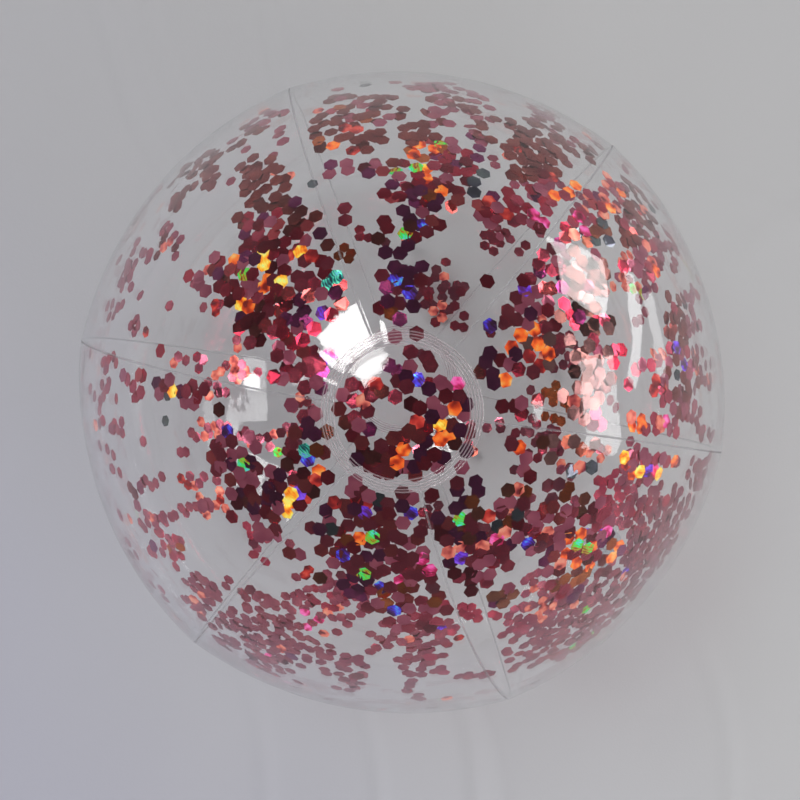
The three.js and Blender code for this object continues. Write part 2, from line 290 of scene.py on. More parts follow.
def foil(name, low, mid, high, metallic=0.95, rough=0.17, scale=150.0):
    """Dyed metallic foil. Its tone drifts over a few millimetres, so flakes differ a little from each other."""
    m, nt, out = new_material(name)
    vec = object_coords(nt)
    drift = noise(nt, vec, scale, 1.0, 0.4)
    p = node(nt, "ShaderNodeBsdfPrincipled")
    nt.links.new(ramp(nt, drift.outputs["Fac"], [(0.3, rgb(*low)), (0.5, rgb(*mid)), (0.7, rgb(*high))]),
                 p.inputs["Base Color"])
    p.inputs["Metallic"].default_value = metallic
    p.inputs["Specular IOR Level"].default_value = 0.5
    soft = noise(nt, vec, 1100.0, 2.0)
    r = maths(nt, "MULTIPLY_ADD", soft.outputs["Fac"], 0.14)
    r.node.inputs[2].default_value = rough - 0.07
    nt.links.new(r, p.inputs["Roughness"])
    nt.links.new(bump(nt, soft.outputs["Fac"], 0.2, 0.00008), p.inputs["Normal"])
    # painted shadow tint: shadows cast by the foil are a faint pink and not dark, partly the dye letting red light
    # through and partly standing in for the pink light the foil throws onto the sheet
    let_lamps_through(nt, p.outputs[0], out, (0.93, 0.87, 0.875))
    return m


def glint(name, stops, light=0.55, lines=0.0, scale=300.0, lift=0.0):
    """Foil caught where its fine grating throws a pure colour at the eye, painted in as a fixed colour that glows by
    emission: a painted glint. Parts of a flake stay dark.
    """
    m, nt, out = new_material(name)
    vec = object_coords(nt)
    drift = noise(nt, vec, scale, 1.0, 0.4)
    grating = node(nt, "ShaderNodeTexWave")
    grating.bands_direction = "DIAGONAL"
    grating.inputs["Scale"].default_value = 420.0
    grating.inputs["Distortion"].default_value = 6.0
    grating.inputs["Detail"].default_value = 1.0
    nt.links.new(vec, grating.inputs["Vector"])
    wide = maths(nt, "MULTIPLY_ADD", drift.outputs["Fac"], 2.2)
    wide.node.inputs[2].default_value = -0.6 + lift
    fac = maths(nt, "ADD", wide, maths(nt, "MULTIPLY", maths(nt, "SUBTRACT", grating.outputs["Fac"], 0.5), lines),
                clamp=True)
    colour = ramp(nt, fac, [(q, rgb(*c)) for q, c in stops])
    p = node(nt, "ShaderNodeBsdfPrincipled")
    nt.links.new(colour, p.inputs["Base Color"])
    # painted glint: the flake glows with its ramp colour by emission, in place of light its grating throws at the eye
    nt.links.new(colour, p.inputs["Emission Color"])
    p.inputs["Emission Strength"].default_value = light
    p.inputs["Metallic"].default_value = 0.6
    p.inputs["Roughness"].default_value = 0.25
    nt.links.new(p.outputs[0], out.inputs["Surface"])
    return m


FOILS = {
    "D": foil("foil_oxblood", (186, 42, 68), (202, 50, 78), (218, 66, 88)),
    "d": foil("foil_garnet", (134, 30, 50), (150, 34, 56), (168, 46, 62)),
    "F": foil("foil_brick", (214, 86, 96), (226, 96, 102), (234, 108, 108)),
    "P": foil("foil_plum", (140, 46, 96), (152, 56, 116), (172, 72, 124)),
    "B": foil("foil_russet", (142, 62, 62), (160, 74, 72), (180, 90, 82)),
    "M": foil("foil_wine", (202, 72, 98), (216, 84, 110), (228, 98, 118)),
    # painted light and haze: a paler rose copy of the same foil, for flakes on the lower half and near the rim, which
    # from above look paler through the slanting film and lit by the floor
    "R": foil("foil_rose_painted_haze", (190, 95, 120), (204, 107, 128), (218, 120, 136)),
    "W": foil("foil_pale", (88, 52, 50), (98, 60, 56), (112, 68, 62)),
    # painted reflection: a paler, less metallic foil for flakes beside the right-hand window's reflection, lighter
    # where they should mirror the window
    "w": foil("foil_blush_painted_reflection", (146, 98, 98), (160, 110, 108), (176, 124, 118), metallic=0.78),
    "N": foil("foil_madder", (180, 86, 112), (196, 100, 126), (212, 114, 136), metallic=0.62),
    "u": foil("foil_rust", (206, 98, 52), (218, 112, 62), (230, 128, 72)),
    "e": foil("foil_slate", (104, 102, 120), (116, 120, 128), (128, 140, 138)),
    "E": foil("foil_olive", (166, 84, 70), (178, 98, 78), (190, 118, 88)),
    # the glint foils below glow by emission: their bright colours are painted glints fixed on the flakes
    "S": glint("glint_salmon", [(0.0, (120, 40, 48)), (0.25, (196, 84, 80)), (0.55, (250, 136, 116)), (1.0, (255, 178, 150))], 0.32),
    "o": glint("glint_orange", [(0.0, (120, 30, 24)), (0.28, (196, 60, 26)), (0.5, (250, 104, 40)), (0.8, (255, 150, 60)), (1.0, (255, 190, 110))], 0.5),
    "y": glint("glint_gold", [(0.0, (200, 70, 20)), (0.3, (255, 140, 34)), (0.55, (255, 200, 60)), (0.8, (255, 236, 110)), (1.0, (220, 245, 150))], 0.62, lines=0.15),
    "g": glint("glint_green", [(0.0, (120, 50, 26)), (0.28, (190, 150, 44)), (0.5, (96, 216, 62)), (0.8, (60, 236, 124)), (1.0, (100, 220, 224))], 0.48, lines=0.35),
    "t": glint("glint_teal", [(0.0, (24, 50, 60)), (0.35, (30, 110, 110)), (0.6, (70, 200, 170)), (0.85, (120, 235, 190)), (1.0, (90, 110, 235))], 0.42, lines=0.5),
    "b": glint("glint_blue", [(0.0, (52, 20, 46)), (0.4, (74, 34, 104)), (0.62, (80, 54, 206)), (0.85, (84, 84, 250)), (1.0, (90, 180, 244))], 0.42, lines=0.25),
    "v": glint("glint_violet", [(0.0, (66, 24, 50)), (0.35, (98, 40, 116)), (0.6, (108, 56, 218)), (1.0, (152, 96, 255))], 0.46, lines=0.2),
    "m": glint("glint_magenta", [(0.0, (110, 24, 50)), (0.35, (186, 40, 90)), (0.6, (244, 80, 160)), (1.0, (255, 140, 215))], 0.48, lines=0.1),
    "r": glint("glint_red", [(0.0, (90, 22, 30)), (0.4, (150, 34, 38)), (0.7, (214, 60, 52)), (1.0, (250, 110, 90))], 0.3),
}
LETTERS = list(FOILS)


# ---------------------------------------------------------------- mesh tools
def make_object(name, verts, faces, materials, face_mats=None, sharp=None):
    mesh = bpy.data.meshes.new(name)
    mesh.from_pydata([tuple(v) for v in verts], [], faces)
    for m in materials:
        mesh.materials.append(m)
    if face_mats is not None:
        mesh.polygons.foreach_set("material_index", face_mats)
    mesh.validate()
    ob = bpy.data.objects.new(name, mesh)
    scene.collection.objects.link(ob)
    if sharp is not None:
        mesh.polygons.foreach_set("use_smooth", [True] * len(mesh.polygons))
        mesh.set_sharp_from_angle(angle=math.radians(sharp))
    mesh.update()
    return ob


def lathe(name, profile, segments, matrix, materials, pick=None, sharp=40):
    """A solid of revolution about +Z. The profile is [radius, height] in millimetres, closed or from axis to axis."""
    closed = profile[0] == profile[-1]
    pts = profile[:-1] if closed else profile
    verts, index = [], []
    for r, z in pts:
        if r < 1e-9:
            index.append([len(verts)])
            verts.append(matrix @ Vector((0, 0, z * MM)))
        else:
            index.append([len(verts) + k for k in range(segments)])
            for k in range(segments):
                a = 2 * math.pi * k / segments
                verts.append(matrix @ Vector((r * MM * math.cos(a), r * MM * math.sin(a), z * MM)))
    faces, mats = [], []
    n = len(pts)
    for i in range(n if closed else n - 1):
        a, b = index[i], index[(i + 1) % n]
        slot = pick(pts[i], pts[(i + 1) % n]) if pick else 0
        for k in range(segments):
            k2 = (k + 1) % segments
            if len(a) == 1 and len(b) == 1:
                continue
            if len(a) == 1:
                f = (a[0], b[k2], b[k])
            elif len(b) == 1:
                f = (a[k], a[k2], b[0])
            else:
                f = (a[k], a[k2], b[k2], b[k])
            faces.append(f)
            mats.append(slot)
    ob = make_object(name, verts, faces, materials, mats, sharp)
    fix_normals(ob)
    return ob


def fix_normals(ob):
    bm = bmesh.new()
    bm.from_mesh(ob.data)
    bmesh.ops.recalc_face_normals(bm, faces=bm.faces)
    bm.to_mesh(ob.data)
    bm.free()


# -------------------------------------------------------------------- gores
def seam_wave(k, lat):
    """Small puckers that run along a weld."""
    return (0.10 * math.sin(lat * 41 + k * 1.7) + 0.07 * math.sin(lat * 67 + k * 4.1)
            + 0.05 * math.sin(lat * 103 + k * 2.3)) * MM


# how far each seam wanders from its plane towards the upper and the lower pole, in degrees
DRIFT = ((0.0, 1.5), (2.2, -1.0), (2.0, 1.0), (-2.8, 1.5), (-7.2, 1.2), (3.0, -1.5))


def seam_azimuth(k, lat):
    up, down = DRIFT[k % GORES]
    s = math.sin(lat)
    return PHASE + k * 2 * HALF + math.radians((up if s > 0 else down) * s * s)


def warp(gore, off, lat):
    """Azimuth of a point of a gore, given its offset from the middle of a true gore."""
    a, b = seam_azimuth(gore, lat), seam_azimuth(gore + 1, lat)
    return a + (b - a) * (off + HALF) / (2 * HALF)


def locate(az, lat):
    """Gore and true offset of an azimuth."""
    for g in range(GORES):
        a, b = seam_azimuth(g, lat), seam_azimuth(g + 1, lat)
        d = (az - a) % (2 * math.pi)
        if d < b - a:
            return g, -HALF + 2 * HALF * d / (b - a)
    return 0, 0.0


def film_radius(gore, off, lat):
    """Outer radius of a gore at an azimuth offset from its middle."""
    q = abs(off) / HALF
    c = math.cos(lat)
    r = R + SEAM_RISE * c * c * q * q
    # the film is drawn in beside the weld, and pulls into small puckers there
    edge = (HALF - abs(off)) * R * max(c, 0.05)
    seam = gore + (1 if off > 0 else 0)
    near = math.exp(-edge / (6.5 * MM))
    r += seam_wave(seam % GORES, lat) * near * min(1.0, c * 2.2)
    # radial puckers where the gore tips are drawn in under a patch
    rho = R * c
    if rho < 60 * MM:
        az = (gore + 0.5) * 2 * HALF + off
        near = math.exp(-max(0.0, rho - 28 * MM) / (9 * MM))
        s = 1 if lat > 0 else 2
        r += (0.06 * math.sin(23 * az + s) + 0.05 * math.sin(37 * az + 2.1 * s) + 0.025 * math.sin(61 * az)
              + 0.06 * math.sin(13 * az + rho * 700)) * MM * near
    # broad unevenness of a hand-filled ball
    r += (0.18 * math.sin(3.1 * lat + gore * 1.3) * math.cos(2 * off / HALF)
          + 0.12 * math.sin(7.0 * off + 5.0 * lat + gore * 2.1)) * MM * c
    return r


def edge_azimuth(side, w, rho):
    return side * (HALF - math.asin(min(0.9, w / rho)))


TIP_LAT = math.acos(TIP_R / R)
ROWS = 110
INNER_COLS = 26


def gore_sections(gore, lat):
    """Outer and inner cross-section points at one latitude, as (azimuth offset, radius)."""
    rad_mid = R * math.cos(lat)
    outer, inner = [], []

    def base(side, w):
        off = edge_azimuth(side, w, rad_mid)
        return off, film_radius(gore, off, lat)

    gap = 0.02 * MM
    for side in (-1, 1):
        seq_o, seq_i = [], []
        off, r = base(side, gap)
        r_edge = film_radius(gore, side * HALF * 0.9999, lat)
        seq_o.append((edge_azimuth(side, gap, rad_mid), r_edge - FIN))
        seq_i.append((edge_azimuth(side, gap + FILM, rad_mid), r_edge - FIN))
        for d in (90, 68, 45, 22, 0):
            a = math.radians(d)
            w = gap + SHOULDER * (1 - math.sin(a))
            seq_o.append((edge_azimuth(side, w, rad_mid), r_edge - SHOULDER * (1 - math.cos(a))))
            wi = gap + SHOULDER - (SHOULDER - FILM) * math.sin(a)
            seq_i.append((edge_azimuth(side, wi, rad_mid), r_edge - SHOULDER + (SHOULDER - FILM) * math.cos(a)))
        if side == -1:
            left_o, left_i = seq_o, seq_i
        else:
            right_o, right_i = seq_o[::-1], seq_i[::-1]
    start = edge_azimuth(-1, gap + SHOULDER * 2.2, rad_mid)
    end = -start
    mid_o, mid_i = [], []
    for j in range(INNER_COLS + 1):
        u = j / INNER_COLS
        u = 0.5 - 0.5 * math.cos(math.pi * u) * (0.35) - 0.5 * (1 - 2 * u) * 0.65
        off = start + (end - start) * u
        r = film_radius(gore, off, lat)
        mid_o.append((off, r))
        mid_i.append((off, r - FILM))
    return left_o + mid_o + right_o, left_i + mid_i + right_i


def build_gore(gore):
    verts, faces, mats = [], [], []
    for i in range(ROWS + 1):
        lat = -TIP_LAT + 2 * TIP_LAT * i / ROWS
        o, inn = gore_sections(gore, lat)
        ring = o + inn[::-1]
        loop = len(ring)
        for off, r in ring:
            c = math.cos(lat)
            a = warp(gore, off, lat)
            verts.append((r * c * math.cos(a), r * c * math.sin(a), CZ + r * math.sin(lat)))
    no = loop // 2
    for i in range(ROWS):
        for j in range(loop):
            a, b = i * loop + j, i * loop + (j + 1) % loop
            faces.append((a, b, b + loop, a + loop))
            jj = min(j, (j + 1) % loop) if (j + 1) % loop else j
            k = j if j < no else loop - 1 - j
            k2 = (j + 1) % loop
            k2 = k2 if k2 < no else loop - 1 - k2
            e = min(k, k2)
            f = max(k, k2)
            if e < 1 or f > no - 2:
                mats.append(1)
            elif e < 5 or f > no - 6:
                mats.append(2)
            else:
                mats.append(0)
    for base, flip in ((0, True), (ROWS * loop, False)):
        for j in range(no - 1):
            q = (base + j, base + j + 1, base + loop - 2 - j, base + loop - 1 - j)
            faces.append(q[::-1] if flip else q)
            mats.append(0)
    ob = make_object(f"film_gore_{gore + 1}", verts, faces, [film_mat, fin_mat, weld_mat], mats, None)
    fix_normals(ob)
    return ob


def cut_with_cylinder(ob, matrix, radius, length, segments=72):
    bpy.ops.mesh.primitive_cylinder_add(vertices=segments, radius=radius, depth=length)
    tool = bpy.context.active_object
    tool.matrix_world = matrix
    bpy.context.view_layer.update()
    mod = ob.modifiers.new("hole", "BOOLEAN")
    mod.operation = "DIFFERENCE"
    mod.solver = "EXACT"
    mod.object = tool
    dg = bpy.context.evaluated_depsgraph_get()
    mesh = bpy.data.meshes.new_from_object(ob.evaluated_get(dg))
    ob.modifiers.clear()
    old = ob.data
    ob.data = mesh
    mesh.name = ob.name
    bpy.data.meshes.remove(old)
    bpy.data.objects.remove(tool)


for g in range(GORES):
    piece = build_gore(g)
    az = math.degrees(PHASE + (g + 0.5) * 2 * HALF) % 360
    valve_az = math.degrees(math.atan2(VN.y, VN.x)) % 360
    if abs(az - valve_az) < 2:
        cut_with_cylinder(piece, VALVE, 8.1 * MM, 14 * MM)
    me = piece.data
    me.polygons.foreach_set("use_smooth", [True] * len(me.polygons))
    me.set_sharp_from_angle(angle=math.radians(50))
    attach(piece, "ball")
    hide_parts(f"gore_{g + 1}")


# ------------------------------------------------------------ pole patches
RINGS = (23.5, 24.6, 25.7, 26.8, 27.75)
BEAD = ((-0.24, 0.0), (-0.15, 0.07), (-0.06, 0.18), (0.0, 0.21), (0.06, 0.18), (0.15, 0.07), (0.24, 0.0))


def patch_profile(flat):
    """From the axis along the outside to the rim, and back along the inside, in millimetres from the ball's centre."""
    out_r, in_r = PATCH_OUT / MM, (R / MM) + 0.12
    rest = REST_R / MM
    top = math.sqrt(out_r ** 2 - rest ** 2)
    pts = []
    if flat:
        for r in (0, 6, 12, 18, 21.5, rest):
            pts.append((r, top))
    else:
        for i in range(13):
            u = i / 12
            pts.append((rest * u, top + DOME / MM * (1 - u * u) ** 1.15))
    # fine embossed weld rings
    for c0 in RINGS:
        for dr, h in BEAD:
            r = c0 + dr
            z = math.sqrt(out_r ** 2 - r * r)
            pts.append((r * (1 + h / out_r), z * (1 + h / out_r)))
    rim = PATCH_R / MM
    pts.append((rim - 0.06, math.sqrt(out_r ** 2 - rim ** 2)))
    pts.append((rim, math.sqrt(out_r ** 2 - rim ** 2) - 0.12))
    pts.append((rim, math.sqrt(in_r ** 2 - rim ** 2)))
    pts.append((25.5, math.sqrt(in_r ** 2 - 25.5 ** 2)))
    pts.append((24.2, math.sqrt(in_r ** 2 - 24.2 ** 2)))
    pts.append((23.4, top - 0.42))
    if flat:
        for r in (rest - 1.2, 18, 12, 6, 0):
            pts.append((r, top - 0.42))
    else:
        for i in range(12, -1, -1):
            u = i / 12
            pts.append(((rest - 0.5) * u, top - 0.38 + DOME / MM * (1 - u * u) ** 1.15))
    return pts


def patch_slot(p, q):
    top = math.hypot(*p) > PATCH_OUT / MM - 0.05 and math.hypot(*q) > PATCH_OUT / MM - 0.05
    mid = (p[0] + q[0]) / 2
    return 1 if top and any(abs(mid - c0) < 0.26 for c0 in RINGS) else 0


up_m = Matrix.Translation(CENTRE)
down_m = Matrix.Translation(CENTRE) @ Matrix.Rotation(math.pi, 4, "X")
for name, flat, m, cad in (("pole_patch_upper", False, up_m, "pole_patch_top"),
                           ("pole_patch_lower", True, down_m, "pole_patch_bottom")):
    piece = lathe(name, patch_profile(flat), 160, m, [patch_mat, ring_mat], patch_slot, sharp=60)
    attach(piece, "ball")
    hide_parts(cad)


# -------------------------------------------------------------------- valve
def drop(r):
    return r * r / (2 * R / MM)


def rounded(points, radius=0.18, steps=3):
    """Rounds the corners of a closed profile."""
    pts = points[:-1]
    out = []
    n = len(pts)
    for i in range(n):
        p0, p1, p2 = (Vector(pts[i - 1]), Vector(pts[i]), Vector(pts[(i + 1) % n]))
        if p1.x < 1e-9:
            out.append(tuple(p1))
            continue
        a, b = (p0 - p1), (p2 - p1)
        d = min(radius, a.length * 0.45, b.length * 0.45)
        s, e = p1 + a.normalized() * d, p1 + b.normalized() * d
        for k in range(steps + 1):
            t = k / steps
            q = s * (1 - t) ** 2 + p1 * 2 * t * (1 - t) + e * t * t
            out.append((q.x, q.y))
    return out + [out[0]]


FLANGE_Z = -1.75
flange = lathe("valve_flange_ring", rounded([
    (8.0, FLANGE_Z - drop(8.0) - 0.55), (9.2, FLANGE_Z - drop(9.2) - 0.62), (10.2, FLANGE_Z - drop(10.2) - 0.5),
    (12.5, FLANGE_Z - drop(12.5) - 0.42), (12.5, FLANGE_Z - drop(12.5)), (10.2, FLANGE_Z - drop(10.2)),
    (8.0, FLANGE_Z - drop(8.0)), (8.0, FLANGE_Z - drop(8.0) - 0.55)], 0.15), 72, VALVE, [vinyl_mat])
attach(flange, "ball")
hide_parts("valve_flange")

# weld collar: the film dips to the flange around the valve, as one thin ring
collar = lathe("valve_weld_ring", rounded([
    (8.05, -0.3), (8.2, 0.12), (8.8, 0.16), (9.6, -0.22), (9.6, -0.55), (9.0, -1.5), (8.3, -2.0), (8.05, -1.9),
    (8.05, -0.3)], 0.12), 72, VALVE, [vinyl_mat])
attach(collar, "ball")

web = lathe("valve_rolling_web", rounded([
    (4.75, -9.7), (5.7, -10.1), (6.6, -9.2), (7.3, -5.5), (7.75, -2.2), (7.98, -1.95), (7.98, -2.3), (7.95, -2.6),
    (7.62, -5.6), (7.0, -9.5), (5.8, -10.7), (4.75, -10.3), (4.75, -9.7)], 0.2), 72, VALVE, [web_mat])
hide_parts("valve_web")
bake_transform(web)

stem = lathe("valve_stem_tube", rounded([
    (3.2, -12.9), (4.1, -12.9), (4.5, -12.4), (4.72, -10.6), (4.72, -9.4), (4.5, -8.8), (4.42, -1.2), (5.1, -0.55),
    (5.4, -0.2), (5.4, 0.95), (5.1, 1.2), (3.5, 1.2), (3.2, 0.9), (3.2, -12.9)], 0.2), 72, VALVE, [vinyl_mat])
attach(stem, "stem")
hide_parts("valve_stem")

plug = lathe("valve_plug_cap", [
    (0, -4.5), (1.4, -4.5), (2.2, -4.35), (2.7, -3.8), (2.95, -3.2), (2.95, -2.8), (2.7, -2.5), (2.75, 1.2), (2.95, 1.45),
    (4.9, 1.42), (5.35, 1.5), (5.6, 1.75), (5.6, 2.3), (5.42, 2.6), (5.0, 2.7), (4.2, 2.7), (4.0, 2.52), (0, 2.46)],
    72, VALVE, [vinyl_mat])
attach(plug, "plug")
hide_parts("valve_plug")


def ribbon(name, path, width, thick, matrix, mats):
    """A flat strip along a path of (x, z) points in millimetres, centred on y = 0."""
    verts, faces = [], []
    n = len(path)
    for i, (x, z) in enumerate(path):
        a, b = path[max(0, i - 1)], path[min(n - 1, i + 1)]
        t = Vector((b[0] - a[0], b[1] - a[1])).normalized()
        nx, nz = -t.y, t.x
        # rounded-rectangle section
        for sy, sn in ((-1, -0.6), (-0.86, -1), (0.86, -1), (1, -0.6), (1, 0.6), (0.86, 1), (-0.86, 1), (-1, 0.6)):
            verts.append(matrix @ (Vector((x + nx * sn * thick / 2, sy * width / 2, z + nz * sn * thick / 2)) * MM))
    for i in range(n - 1):
        for k in range(8):
            a, b = i * 8 + k, i * 8 + (k + 1) % 8
            faces.append((a, b, b + 8, a + 8))
    faces.append(tuple(range(8))[::-1])
    faces.append(tuple((n - 1) * 8 + k for k in range(8)))
    ob = make_object(name, verts, faces, mats, None, 50)
    fix_normals(ob)
    return ob


strap_path = [(5.5, 2.1), (6.2, 2.16), (7.2, 2.2)]
for k in range(13):
    a = math.pi / 2 - math.pi * k / 12
    strap_path.append((8.2 + 0.86 * math.cos(a), 1.31 + 0.86 * math.sin(a)))
strap_path += [(7.2, 0.43), (6.2, 0.46), (5.3, 0.5)]
strap = ribbon("plug_strap_band", strap_path, 3.0, 0.55, VALVE, [vinyl_mat])
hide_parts("plug_strap")
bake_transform(strap)

flap_pts, M = [], 40
for i in range(M + 1):
    a = math.pi / 2 + 0.42 + (2 * math.pi - 0.84) * i / M
    flap_pts.append((4.4 * math.cos(a), 4.4 * math.sin(a)))
flap_pts += [(1.5, 4.75), (0.0, 4.8), (-1.5, 4.75)]
verts, faces = [], []
n = len(flap_pts)
for z, s in ((-13.2, 0.985), (-13.27, 1.0), (-13.53, 1.0), (-13.6, 0.985)):
    for x, y in flap_pts:
        verts.append(VALVE @ (Vector((x * s, y * s, z)) * MM))
for i in range(3):
    for k in range(n):
        a, b = i * n + k, i * n + (k + 1) % n
        faces.append((a, b, b + n, a + n))
top_c = len(verts)
verts.append(VALVE @ (Vector((0, 0, -13.24)) * MM))
verts.append(VALVE @ (Vector((0, 0, -13.64)) * MM))
for k in range(n):
    faces.append((top_c, (k + 1) % n, k))
    faces.append((top_c + 1, 3 * n + k, 3 * n + (k + 1) % n))
flap = make_object("check_flap_disc", verts, faces, [web_mat], None, 40)
fix_normals(flap)
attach(flap, "flap")
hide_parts("check_flap")
